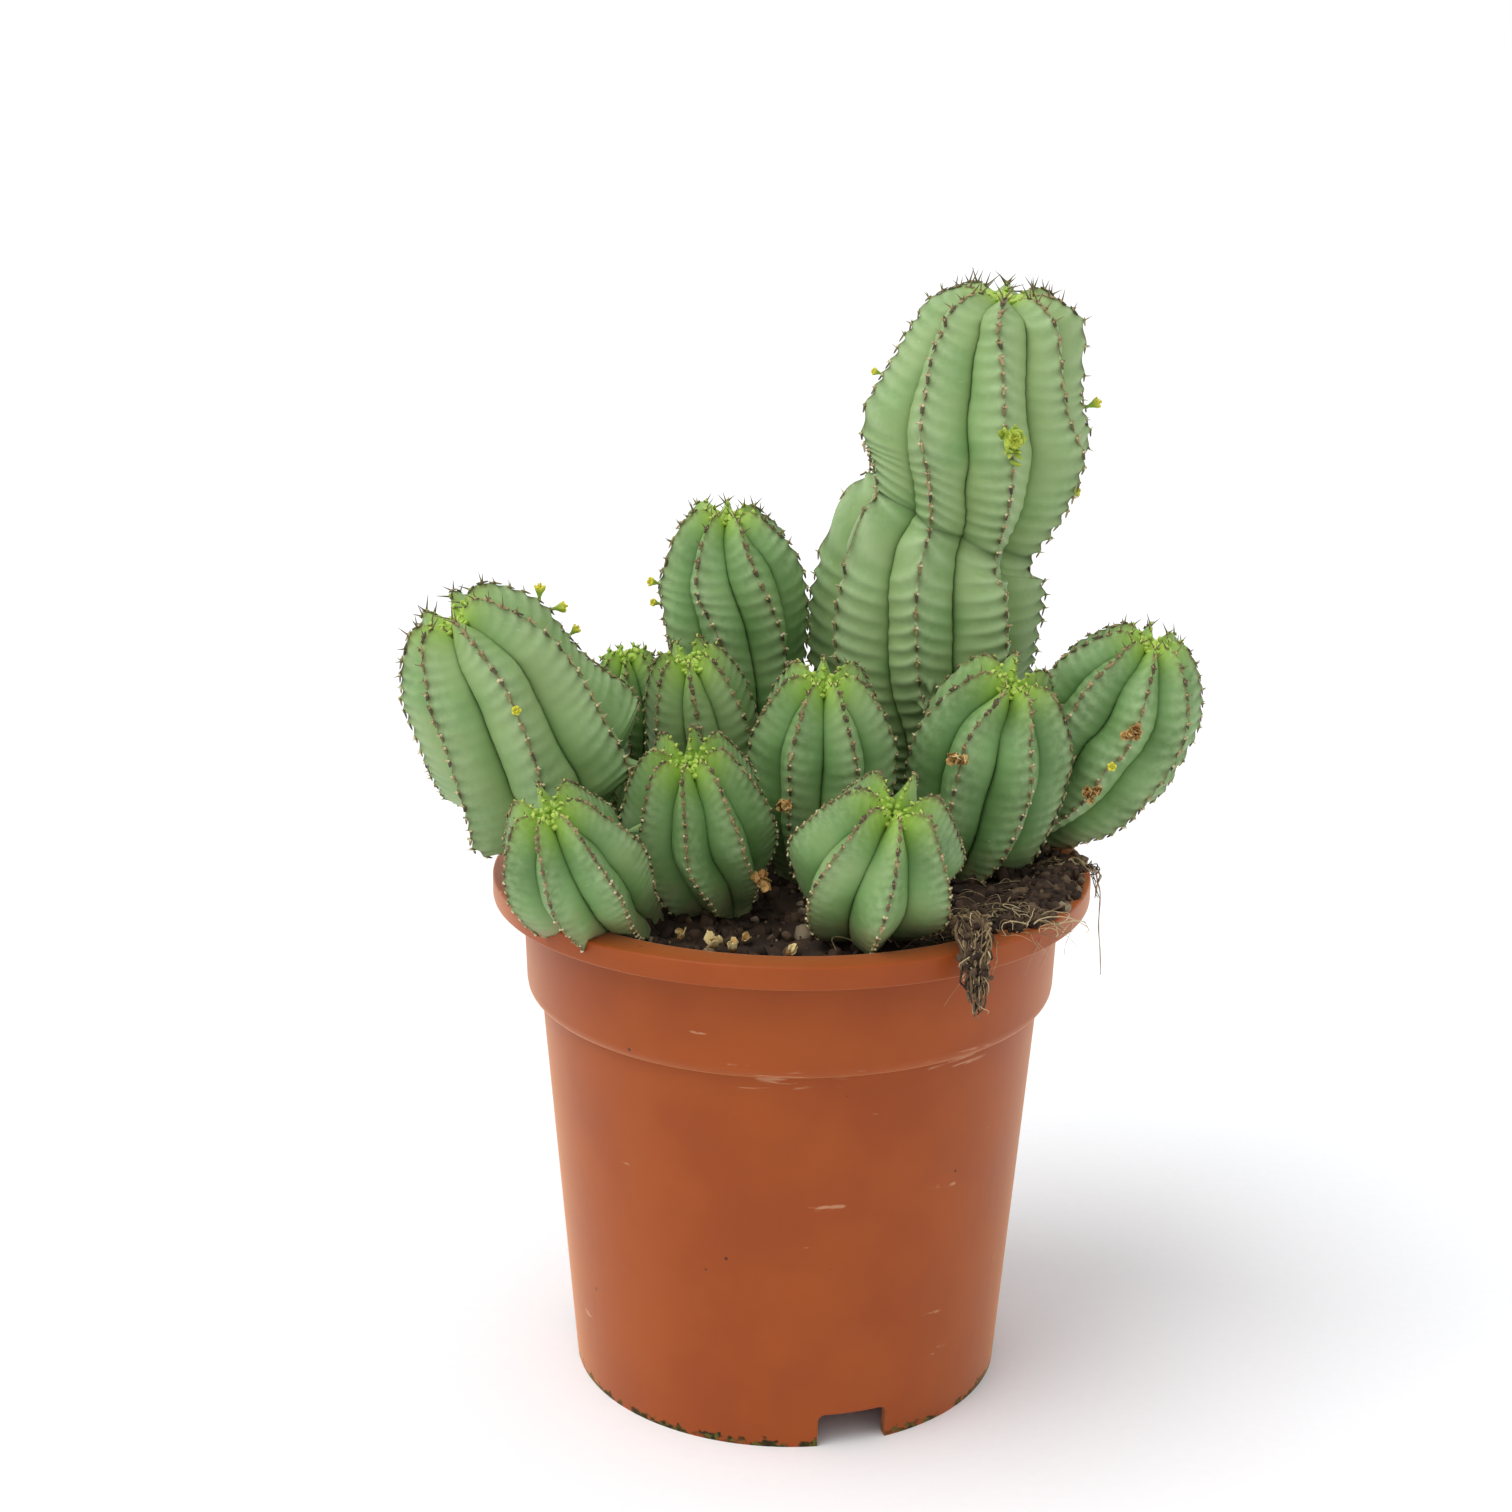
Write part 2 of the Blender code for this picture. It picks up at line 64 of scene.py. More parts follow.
# The pot's profile, in mm from its axis and from the surface that it stands on.
POT_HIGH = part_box("nursery_pot")[1]
RIM_RADIUS = POT_HIGH.x / MM
RIM_TOP = POT_HIGH.z / MM
RIM_BAND, RIM_THICKNESS = 6.4, 1.5
COLLAR_TOP, COLLAR_FOOT = 76.7, 75.5
STEP_HEIGHT, STEP_RADIUS, STEP_ROUND = 114.8, 71.5, 4
BASE_RADIUS, FOOT_WIDTH = 62.3, 3.2
WALL, FLOOR_UNDERSIDE, FLOOR_TOP, CENTRE_FOOT = 1.6, 8.4, 10, 12
NOTCH_ANGLES = (-73, 47, 167)
NOTCH_SIZE = (18, 20, 20)
NOTCH_ROUND = 2

SOIL_TOP = 145.5
SOIL_RADIUS = 74.6
SOIL_HEAP = 6.5

# How a stem is drawn out of its stations.
TAP_LENGTH = 2
NECK_SHARE = 0.06
CROWN_POWER = 2.4
SLOPE_STEP = 0.01

# name, ribs, groove's share of the radius, share of the length where the crown begins, how far the
# crests stand over the sunken tip, spacing of the spine pairs, strength of the cross ridges, length
# of the longest spines, how far the ribs' sides bulge (share of the radius), how pale the skin is
# (painted light and shade, set for each stem: paler in the light, darker in shade), and the stations:
# x, y, z from the root, radius over the crests (mm), and the direction of one crest (degrees from the
# front towards +X).
Stem = namedtuple("Stem", "name ribs groove shoulder lift spacing ridges spine fullness tone path")
STEMS = (
    Stem("tall_stem", 8, 0.66, 0.972, 3.5, 4.6, 1.0, 6.4, 0.085, 0.75, (
        (0, 0, 0, 11, 60), (0, 0, 14, 13, 58), (0, 1, 34, 22, 54), (-1, 2, 52, 29, 47),
        (-1, 2, 68, 34, 41), (0, 2, 86, 34, 37), (2, 2, 100, 32, 34), (7, 1, 111, 28.5, 26),
        (11, 0, 123, 32.5, 18), (13, 0, 136, 34.5, 12), (15.5, -1, 149, 29, 4),
        (18.6, -1, 162, 24.5, -3), (19.6, -2, 172, 22, -8),
    )),
    Stem("second_stem", 7, 0.64, 0.84, 5, 4.4, 0.75, 4.6, 0.085, 0.35, (
        (0, 0, 0, 9, 55), (0, 0, 14, 11, 55), (0, 0, 32, 17, 54), (-3, -1, 71, 21.5, 44),
        (-4, -2, 90, 22, 28), (-6, -4, 102, 19.5, 25), (-6, -5, 108, 16.5, 24),
    )),
    Stem("left_stem", 7, 0.62, 0.86, 6.5, 4.4, 0.65, 5.5, 0.085, 0.65, (
        (0, 0, 0, 9, 8), (-1, -1, 14, 11, 8), (-6, -5, 27, 14, 9), (-11, -9, 37, 17, 10),
        (-14, -11, 42, 26, 10), (-17, -13.5, 46.5, 31, 11), (-20, -16, 52, 30.5, 14),
        (-26, -20, 63, 27.5, 18), (-35, -24, 81.5, 24, 21), (-40, -26, 90, 20, 21),
    )),
    Stem("right_stem", 8, 0.64, 0.84, 5, 4.1, 0.6, 3.6, 0.085, 0.2, (
        (0, 0, 0, 9, -8), (1, 0, 13, 10, -8), (8, -3, 24, 14.5, -7), (18, -8, 33, 20, -6),
        (28, -12, 44, 24.5, -4), (35, -14, 55, 24.5, -3), (40, -17, 66, 22.5, -3),
        (43, -19, 74, 19, -3), (44, -20, 78, 16, -3),
    )),
    Stem("centre_left_stem", 7, 0.6, 0.76, 7, 3.7, 0.4, 2.4, 0.08, 0.8, (
        (0, 0, 0, 8, 6), (0, 0, 13, 9, 6), (-2, -3, 38, 16, 6), (-4, -8, 57, 16.5, 4),
        (-7, -14, 74, 14.5, 4),
    )),
    Stem("centre_stem", 7, 0.62, 0.76, 7, 3.8, 0.4, 2.2, 0.08, 0.35, (
        (0, 0, 0, 8, 26), (0, 0, 13, 10, 26), (1, -5, 30, 18, 26), (2, -9, 54, 21, 26),
        (2, -14, 71, 17, 25),
    )),
    Stem("centre_right_stem", 7, 0.62, 0.76, 7, 3.8, 0.35, 2.6, 0.08, 0.15, (
        (0, 0, 0, 9, 14), (0, 0, 13, 11, 14), (4, -3, 27, 20, 18), (7, -6, 48, 23.5, 25),
        (10, -9, 63, 21, 23), (12, -12, 70, 17, 22),
    )),
    Stem("front_centre_stem", 8, 0.6, 0.7, 9, 3.2, 0.1, 1.5, 0.075, 0.3, (
        (0, 0, 0, 8, 8), (0, 0, 13, 11, 8), (-3, -4, 24, 18, 5), (-6, -10, 39, 21, -5),
        (-8, -18, 56, 17.5, -5),
    )),
    Stem("front_left_stem", 7, 0.6, 0.7, 8, 3.1, 0.1, 1.4, 0.075, 0.3, (
        (0, 0, 0, 8, -4), (-1, -2, 12, 10, -4), (-9, -14, 23, 17.5, -6),
        (-15, -22, 36, 19.5, -9), (-19, -29, 49, 15.5, -9),
    )),
    Stem("front_right_stem", 7, 0.6, 0.68, 9.5, 3.2, 0.1, 1.4, 0.075, 0.3, (
        (0, 0, 0, 9, 0), (0, -1, 12, 11, 0), (0, -7, 23.5, 20, 0), (2, -14, 35, 24, 0),
        (5, -22, 50, 18, 2),
    )),
    Stem("small_back_stem", 7, 0.62, 0.78, 4, 3.6, 0.5, 2.4, 0.08, 0.3, (
        (0, 0, 0, 7, 0), (0, 0, 13, 8, 0), (-2, -3, 33, 11, 0), (-3, -4, 57, 12.5, 0),
        (-4, -5, 70, 10, 0),
    )),
    Stem("rear_left_stem", 7, 0.62, 0.72, 4, 3.4, 0.3, 2, 0.08, 0.35, (
        (0, 0, 0, 6, 20), (0, 0, 12, 8, 20), (-6, 5, 27, 13, 20), (-11, 10, 42, 10.5, 20),
    )),
    Stem("rear_centre_stem", 7, 0.62, 0.72, 4, 3.2, 0.3, 2, 0.08, 0.35, (
        (0, 0, 0, 5, 0), (0, 0, 12, 7, 0), (-1, 4, 25, 10.5, 0), (-2, 8, 39, 8.5, 0),
    )),
)

# Height along the stem of a winter's waist, and its depth as a share of the radius.
WAISTS = {"tall_stem": (110.5, 0.055)}

# Stems that lean on neighbours and are pressed in where they touch.
PRESSED = {
    "tall_stem": ("centre_right_stem", "right_stem", "second_stem"),
    "right_stem": ("centre_right_stem",),
    "second_stem": ("centre_left_stem",),
    "left_stem": ("front_left_stem", "front_centre_stem", "centre_left_stem"),
    "centre_left_stem": ("front_centre_stem", "centre_stem"),
    "centre_stem": ("front_centre_stem", "front_right_stem"),
    "centre_right_stem": ("front_right_stem", "centre_stem"),
    "front_centre_stem": ("front_left_stem", "front_right_stem"),
    "small_back_stem": ("left_stem", "centre_left_stem", "second_stem"),
    "rear_left_stem": ("small_back_stem", "left_stem", "second_stem"),
    "rear_centre_stem": ("second_stem", "tall_stem"),
}

# The flower that sits in a tuft of its own young leaves, and how flowers turn to the light.
LEAFY_CLUSTER = 4
LIGHTWARD = np.array([0, -0.45, 0.1])

# Fallen husks: x, y and size, in mm.
LITTER = ((-21.6, -62, 4.4), (-16, -64, 3.2), (-1.1, -68, 4.2), (-13, -52, 3.0), (-30, -55, 3.2))

# Bare roots: the route of each bundle in mm, with the bundle's radius.
ROOT_ROUTES = {
    "root_clump": (
        (44, -57, 150.5, 2), (45.5, -62, 155, 3.4), (46, -67.5, 156.4, 4.4), (46.5, -72, 156, 4.4),
        (46.5, -76.5, 153, 3.6), (46.5, -79.5, 148, 3.2), (46.8, -80, 142, 2.4), (46.9, -80, 136, 1.2),
    ),
    "root_tangle": (
        (54, -44, 149.5, 2), (58, -47, 153, 3.2), (62, -51, 154.5, 3.4), (65.5, -54, 154, 2.8),
        (68, -56, 153, 1.6),
    ),
    "side_root": (
        (68, -4, 151, 0.9), (73, -4, 153, 0.8), (79, -3.5, 152.6, 0.7), (84.5, -3, 151.8, 0.6),
        (87, -2.5, 149, 0.5), (88.2, -2, 142, 0.45), (88.8, -1.5, 130, 0.4), (89.8, -1, 116, 0.3),
    ),
}


# The studio: a wide paper floor, white walls under a dimmer ceiling, and one large window.
FLOOR_SIZE = 60
WALL_TOP, CEILING = 0.05, 0.3
WINDOW_DIRECTION = (0.55, 0.25, -1)
WINDOW_SPREAD, WINDOW_POWER = math.radians(50), 1.7
CAMERA_PLACE = (-0.010456, -0.70287, 0.38019)
CAMERA_TILT, CAMERA_ROLL, CAMERA_LENS = math.radians(74.295), 0.0098, 61.44


# ---------------------------------------------------------------- colours and nodes


def linear(text):
    """An sRGB hex colour as the linear values that a shader takes."""
    parts = [int(text[i:i + 2], 16) / 255 for i in (1, 3, 5)]
    return (*[c / 12.92 if c <= 0.04045 else ((c + 0.055) / 1.055) ** 2.4 for c in parts], 1)


def feed(tree, node, inputs):
    """Sets a node's inputs, by name or number, to values or links them to other nodes' outputs."""
    for key, value in inputs.items():
        if isinstance(value, bpy.types.NodeSocket):
            tree.links.new(value, node.inputs[key])
        else:
            node.inputs[key].default_value = value


def add_node(tree, kind, inputs=(), output=0, ramp=(), **settings):
    """Adds a node and gives back one of its outputs, by name or number. inputs are in order, or
    named; ramp holds the stops of a colour ramp."""
    made = tree.nodes.new("ShaderNode" + kind)
    for key, value in settings.items():
        setattr(made, key, value)
    feed(tree, made, inputs if isinstance(inputs, dict) else dict(enumerate(inputs)))
    for number, (position, colour) in enumerate(ramp):
        stops = made.color_ramp.elements
        stop = stops[number] if number < 2 else stops.new(position)
        stop.position = position
        stop.color = linear(colour)
    return made.outputs[output]


# Settings that many nodes share: a colour mix, a smooth step between two values, and products.
BLEND = {"output": 2, "data_type": "RGBA"}
SMOOTH = {"interpolation_type": "SMOOTHSTEP"}
TIMES = {"operation": "MULTIPLY"}
TIMES_ADD = {"operation": "MULTIPLY_ADD"}


def new_material(name):
    made = bpy.data.materials.new(name)
    made.use_nodes = True
    tree = made.node_tree
    tree.nodes.clear()
    shader = tree.nodes.new("ShaderNodeBsdfPrincipled")
    surface = tree.nodes.new("ShaderNodeOutputMaterial")
    tree.links.new(shader.outputs[0], surface.inputs["Surface"])
    return made, tree, shader


def grain(tree, size, detail=4.0, stretch=(1, 1, 1)):
    """A noise pattern whose features are about size mm across."""
    place = add_node(tree, "TexCoord", output="Object")
    scaled = add_node(tree, "Mapping", {"Vector": place, "Scale": stretch})
    return add_node(tree, "TexNoise", {"Vector": scaled, "Scale": 1 / (size * MM), "Detail": detail})


# ---------------------------------------------------------------- materials


def moulded_polypropylene(colours):
    """Injection-moulded polypropylene, coloured through: a satin, slightly waxy orange-brown skin
    that whitens where it is scuffed, and holds a line of dirt round the foot. A thin line of painted
    shade darkens the crease under the step."""
    made, tree, shader = new_material("moulded_polypropylene")
    place = add_node(tree, "TexCoord", output="Object")
    height = add_node(tree, "SeparateXYZ", (place,), "Z")
    cloud = grain(tree, 30, 4)
    cloudy = add_node(tree, "MapRange", (cloud, 0.3, 0.7), **SMOOTH)
    tones = {0: cloudy, 6: linear(colours.pot_dark), 7: linear(colours.pot_light)}
    body = add_node(tree, "Mix", tones, **BLEND)
    # Scuffs gather along the step, where stacked pots rub; a few more are strewn lower down.
    few = add_node(tree, "MapRange", (grain(tree, 24, 2), 0.5, 0.6), **SMOOTH)
    line = add_node(tree, "MapRange", (grain(tree, 5, 8, (0.35, 0.35, 3.4)), 0.53, 0.62), **SMOOTH)
    step_band = add_node(tree, "Math", (height, 0.1145, 0.0035), operation="COMPARE")
    rubbed = add_node(tree, "Math", (step_band, few), **TIMES)
    scuff = add_node(tree, "Math", (rubbed, line), **TIMES)
    stray = add_node(tree, "MapRange", (grain(tree, 8, 10, (0.4, 0.4, 1.5)), 0.7, 0.74), **SMOOTH)
    marks = add_node(tree, "Math", (scuff, stray), operation="MAXIMUM")
    marks = add_node(tree, "Math", (marks, 0.45), **TIMES)
    body = add_node(tree, "Mix", {0: marks, 6: body, 7: linear("#D2A582")}, **BLEND)
    # Painted shade: a thin dark line along the crease under the step.
    crease_shade = add_node(tree, "Math", (height, 0.1152, 0.0006), operation="COMPARE")
    crease_shade = add_node(tree, "Math", (crease_shade, 0.35), **TIMES)
    body = add_node(tree, "Mix", {0: crease_shade, 6: body, 7: linear("#6E3415")}, **BLEND)
    spots = add_node(tree, "TexVoronoi", {"Vector": place, "Scale": 1 / (9 * MM)}, "Distance")
    spots = add_node(tree, "MapRange", (spots, 0.07, 0.05), **SMOOTH)
    sparse = add_node(tree, "MapRange", (grain(tree, 17, 1), 0.6, 0.63), **SMOOTH)
    speck = add_node(tree, "Math", (spots, sparse), **TIMES)
    body = add_node(tree, "Mix", {0: speck, 6: body, 7: linear("#4A2A1C")}, **BLEND)
    # Dirt clings to the lowest few millimetres, with a ragged upper edge.
    ragged = add_node(tree, "Math", (grain(tree, 2.5, 6), -0.008, height), **TIMES_ADD)
    ragged = add_node(tree, "MapRange", (ragged, -0.0019, -0.0029), **SMOOTH)
    patchy = add_node(tree, "MapRange", (grain(tree, 10, 3), 0.38, 0.5), **SMOOTH)
    dirt = add_node(tree, "Math", (ragged, patchy), **TIMES)
    mossy = add_node(tree, "MapRange", (grain(tree, 1.5, 3), 0.5, 0.6), **SMOOTH)
    soil = add_node(tree, "Mix", {0: mossy, 6: linear("#2A2812"), 7: linear("#5C5522")}, **BLEND)
    rough = add_node(tree, "MapRange", {"Value": cloud, "To Min": 0.34, "To Max": 0.46})
    under = add_node(tree, "Bump", {"Height": grain(tree, 13, 2), "Distance": 0.25 * MM, "Strength": 0.35})
    over = {"Height": grain(tree, 0.7, 3), "Distance": 0.03 * MM, "Strength": 0.4, "Normal": under}
    feed(tree, shader, {
        "Base Color": add_node(tree, "Mix", {0: dirt, 6: body, 7: soil}, **BLEND),
        "Roughness": add_node(tree, "Math", (dirt, 0.4, rough), **TIMES_ADD),
        "IOR": 1.49, "Specular IOR Level": 0.2,
        "Sheen Weight": 0.7, "Sheen Roughness": 0.35, "Sheen Tint": linear("#FFC08A"),
        "Subsurface Weight": 0.03, "Subsurface Radius": (0.004, 0.0015, 0.0008),
        "Normal": add_node(tree, "Bump", over),
    })
    return made


def waxed_skin(colours):
    """Living stem skin under a coat of wax: a soft grey bloom over mid green, each stem paler or
    darker as painted light and shade, a thin line of painted shade in the grooves and at the waist,
    painted shade under each spine cushion, painted highlight on the tops of the cross ridges, a brown
    horny line on the crests, yellow-green at the tip and olive and scarred towards the soil."""
    made, tree, shader = new_material("waxed_stem_skin")
    names = ("tone", "crest", "ridge", "pit_shade", "base", "young", "horn", "groove_shade")
    carried = [add_node(tree, "Attribute", output="Fac", attribute_name=name) for name in names]
    pale, crest, ridge, pit_shade, base, young, horny, groove_shade = carried
    fine = grain(tree, 2.2, 6)
    # Each stem's paleness, carried in tone, is painted light and shade.
    tone = add_node(tree, "Math", (grain(tree, 12, 4), 0.5, pale), **TIMES_ADD)
    stops = ((0.25, colours.skin_dark), (1.1, colours.skin_warm), (0.62, colours.skin))
    green = add_node(tree, "ValToRGB", (tone,), ramp=stops)
    bloom = add_node(tree, "Math", (crest, fine), **TIMES)
    bloom = add_node(tree, "MapRange", (bloom, 0.1, 0.8), **SMOOTH)
    olive = add_node(tree, "Math", (base, grain(tree, 6, 5)), **TIMES)
    scar = add_node(tree, "MapRange", (grain(tree, 3.4, 8, (1, 1, 2.2)), 0.69, 0.8), **SMOOTH)
    rough_horn = add_node(tree, "MapRange", (grain(tree, 1.4, 3), 0.35, 0.6), **SMOOTH)
    # Each layer covers the ones before it.
    layers = (
        (bloom, colours.bloom),
        # Painted highlight: the tops of the cross ridges are made paler.
        (add_node(tree, "Math", (ridge, 0.5), **TIMES), "#AABF8F"),
        # Painted shade: the notch under each spine cushion is darkened.
        (add_node(tree, "Math", (pit_shade, 0.75), **TIMES), "#46552C"),
        (add_node(tree, "MapRange", (olive, 0.1, 0.7), **SMOOTH), "#8C8B62"),
        (add_node(tree, "MapRange", (young, 0.2, 0.8), **SMOOTH), colours.tip),
        (add_node(tree, "Math", (scar, 0.45), **TIMES), "#C2CFAE"),
        (add_node(tree, "Math", (rough_horn, horny), **TIMES), "#6F6840"),
        # Painted shade: a dark line along each groove and round the waist.
        (add_node(tree, "Math", (groove_shade, 0.9), **TIMES), colours.groove),
    )
    for share, colour in layers:
        green = add_node(tree, "Mix", {0: share, 6: green, 7: linear(colour)}, **BLEND)
    under = add_node(tree, "Bump", {"Height": grain(tree, 5, 3), "Distance": 0.5 * MM, "Strength": 0.35})
    over = {"Height": grain(tree, 0.55, 2), "Distance": 0.05 * MM, "Strength": 0.5, "Normal": under}
    feed(tree, shader, {
        "Base Color": green,
        "Roughness": add_node(tree, "MapRange", {"Value": bloom, "To Min": 0.45, "To Max": 0.62}),
        "IOR": 1.42, "Specular IOR Level": 0.35,
        "Subsurface Weight": 0.1, "Subsurface Radius": (0.0012, 0.0025, 0.0008),
        "Normal": add_node(tree, "Bump", over),
    })
    return made


def mottled(name, noise_size, detail, carried, share, stops, tip=None):
    """A material whose colour runs along a ramp by a noise pattern and a number that the mesh
    carries, with its bare tree, shader and pattern for what is particular to it."""
    made, tree, shader = new_material(name)
    fine = grain(tree, noise_size, detail)
    number = add_node(tree, "Attribute", output="Fac", attribute_name=carried)
    worn = add_node(tree, "Math", (fine, share, number), **TIMES_ADD)
    colour = add_node(tree, "ValToRGB", (worn,), ramp=stops)
    if tip:
        point = add_node(tree, "Attribute", output="Fac", attribute_name="tip")
        colour = add_node(tree, "Mix", {0: point, 6: colour, 7: linear(tip)}, **BLEND)
    feed(tree, shader, {"Base Color": colour})
    return made, tree, shader, fine


def horn():
    """Spine shields and spines: dry horn, dark brown with darker points, its cushions weathered
    to tan and cream."""
    stops = ((0.15, "#3C3020"), (1.2, "#CDC098"), (0.42, "#594D30"), (0.68, "#7F7248"), (0.92, "#AD976C"))
    made, tree, shader, fine = mottled("spine_horn", 0.8, 4, "tone", 0.3, stops, "#473D28")
    pores = add_node(tree, "Bump", {"Height": fine, "Distance": 0.08 * MM, "Strength": 0.6})
    feed(tree, shader, {"Roughness": 0.62, "IOR": 1.5, "Normal": pores})
    return made


def young_leaf():
    """Tiny fleshy leaves and young teeth round the growing tip: soft, bright and translucent."""
    made, tree, shader = new_material("young_leaf")
    fine = grain(tree, 1.2, 3)
    body = add_node(tree, "Mix", {0: fine, 6: linear("#A0C24E"), 7: linear("#88AC42")}, **BLEND)
    tip = add_node(tree, "Attribute", output="Fac", attribute_name="tip")
    feed(tree, shader, {
        "Base Color": add_node(tree, "Mix", {0: tip, 6: body, 7: linear("#B8CD5C")}, **BLEND),
        "Roughness": 0.45, "IOR": 1.42,
        "Subsurface Weight": 0.2, "Subsurface Radius": (0.001, 0.0015, 0.0004),
        "Normal": add_node(tree, "Bump", {"Height": fine, "Distance": 0.06 * MM, "Strength": 0.4}),
    })
    return made


def peat_and_bark():
    """Peat, composted bark and grit: matt dark crumbs, some reddish, some grey, some nearly black."""
    stops = ((0.1, "#1B130D"), (1.0, "#8A7A63"), (0.45, "#33241A"), (0.75, "#4B382A"), (0.92, "#6A5743"))
    made, tree, shader, _ = mottled("peat_and_bark", 1.1, 6, "tone", 0.35, stops)
    under = add_node(tree, "Bump", {"Height": grain(tree, 1.6, 5), "Distance": 0.5 * MM, "Strength": 0.8})
    over = {"Height": grain(tree, 0.4, 3), "Distance": 0.12 * MM, "Strength": 0.8, "Normal": under}
    feed(tree, shader, {"Roughness": 0.92, "IOR": 1.4, "Normal": add_node(tree, "Bump", over)})
    return made


def fresh_cyathium():
    """Fleshy flower cups: green stalk and cup, greenish yellow glands and stamens."""
    stops = ((0.15, "#8FAE45"), (1.0, "#DCD03E"), (0.5, "#B3BE42"), (0.85, "#CCCB3C"))
    made, tree, shader, fine = mottled("fresh_cyathium", 0.9, 4, "tip", 0.25, stops)
    feed(tree, shader, {
        "Roughness": 0.5, "IOR": 1.42,
        "Subsurface Weight": 0.15, "Subsurface Radius": (0.001, 0.0008, 0.0002),
        "Normal": add_node(tree, "Bump", {"Height": fine, "Distance": 0.08 * MM, "Strength": 0.5}),
    })
    return made


def dried_husk():
    """Withered flower cups: crumpled, papery and matt, straw to rust brown."""
    stops = ((0.2, "#6B4427"), (1.2, "#DCC58C"), (0.5, "#A97A42"), (0.85, "#CBA766"))
    made, tree, shader, fine = mottled("dried_husk", 0.9, 6, "tone", 0.6, stops)
    creased = add_node(tree, "Bump", {"Height": fine, "Distance": 0.15 * MM, "Strength": 0.7})
    feed(tree, shader, {"Roughness": 0.85, "IOR": 1.45, "Normal": creased})
    return made


def root_fibre():
    """Dry roots with soil on them: dull grey-brown strands, some bleached to straw."""
    stops = ((0.15, "#2B2017"), (1.0, "#BFAB84"), (0.4, "#503E2C"), (0.7, "#86704F"))
    made, tree, shader, fine = mottled("root_fibre", 1.5, 5, "tone", 0.4, stops)
    bark = add_node(tree, "Bump", {"Height": fine, "Distance": 0.1 * MM, "Strength": 0.7})
    feed(tree, shader, {"Roughness": 0.9, "IOR": 1.45, "Normal": bark})
    return made


def studio_paper():
    """Matt white background paper."""
    made, tree, shader = new_material("studio_paper")
    fibre = {0: grain(tree, 3, 3), 6: linear("#F4F4F5"), 7: linear("#F8F8F9")}
    feed(tree, shader, {"Base Color": add_node(tree, "Mix", fibre, **BLEND), "Roughness": 0.9})
    return made


# ---------------------------------------------------------------- meshes


def make_piece(name, vertices, faces, material, replaced=(), values=None, smooth=True):
    """A mesh object that rides on the root body; values holds numbers for each vertex by name."""
    mesh = bpy.data.meshes.new(name)
    mesh.from_pydata(np.asarray(vertices, float).tolist(), [], [list(map(int, f)) for f in faces])
    mesh.validate()
    for key, numbers in (values or {}).items():
        mesh.attributes.new(key, "FLOAT", "POINT").data.foreach_set("value", np.asarray(numbers, np.float32))
    if smooth:
        mesh.shade_smooth()
    mesh.materials.append(material)
    made = bpy.data.objects.new(name, mesh)
    bpy.context.scene.collection.objects.link(made)
    return settle(made, replaced)


def settle(made, replaced=()):
    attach(made, ROOT)
    if replaced:
        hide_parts(*replaced)
    return made


def shape_arrays(shape):
    """A bmesh's vertices and faces as arrays, and the bmesh freed."""
    shape.verts.index_update()
    vertices = np.array([v.co[:] for v in shape.verts])
    faces = [[v.index for v in f.verts] for f in shape.faces]
    shape.free()
    return vertices, faces


def ball(segments, rings, squeeze=(1, 1, 1)):
    shape = bmesh.new()
    bmesh.ops.create_uvsphere(shape, u_segments=segments, v_segments=rings, radius=1)
    bmesh.ops.scale(shape, vec=squeeze, verts=shape.verts)
    return shape


class Heap:
    """Many small shapes gathered into one mesh."""

    def __init__(self):
        self.vertices, self.faces, self.values, self.count = [], [], {}, 0

    def add(self, shape, turn, place, **values):
        """Adds (vertices, faces) turned by a 3x3 matrix and moved; each value is a number or one
        for each vertex."""
        vertices, faces = shape
        moved = vertices @ np.array(turn).T + np.array(place)
        self.vertices.append(moved)
        self.faces += [[i + self.count for i in face] for face in faces]
        for key, number in values.items():
            self.values.setdefault(key, []).append(np.broadcast_to(number, len(vertices)))
        self.count += len(vertices)

    def piece(self, name, material, slot, replaced=()):
        values = {key: np.concatenate(parts) for key, parts in self.values.items()}
        return make_piece(name, np.concatenate(self.vertices), self.faces, material, replaced, values)


def axes_matrix(x, y, z, scale=(1, 1, 1)):
    """A 3x3 matrix that turns X, Y and Z to the given directions, scaled."""
    return np.column_stack([np.array(x) * scale[0], np.array(y) * scale[1], np.array(z) * scale[2]])


def unit(rows):
    return rows / np.maximum(np.linalg.norm(rows, axis=-1, keepdims=True), 1e-12)


def smoothstep(low, high, value):
    t = np.clip((value - low) / (high - low), 0, 1)
    return t * t * (3 - 2 * t)


# ---------------------------------------------------------------- pot


def arc(centre, radius, start, end, count):
    angles = np.radians(np.linspace(start, end, count + 1))
    return [(centre[0] + radius * math.cos(a), centre[1] + radius * math.sin(a)) for a in angles]


def rounded(points, radius, count=3):
    """A profile whose inner corners are replaced by short curves."""
    made = [points[0]]
    for before, corner, after in zip(points, points[1:], points[2:]):
        a, b, c = (np.array(p, float) for p in (before, corner, after))
        reach = min(radius, np.linalg.norm(a - b) / 2.2, np.linalg.norm(c - b) / 2.2)
        start, end = b + unit(a - b) * reach, b + unit(c - b) * reach
        for t in np.linspace(0, 1, count + 1):
            made.append(tuple((1 - t) ** 2 * start + 2 * t * (1 - t) * b + t * t * end))
    return made + [points[-1]]


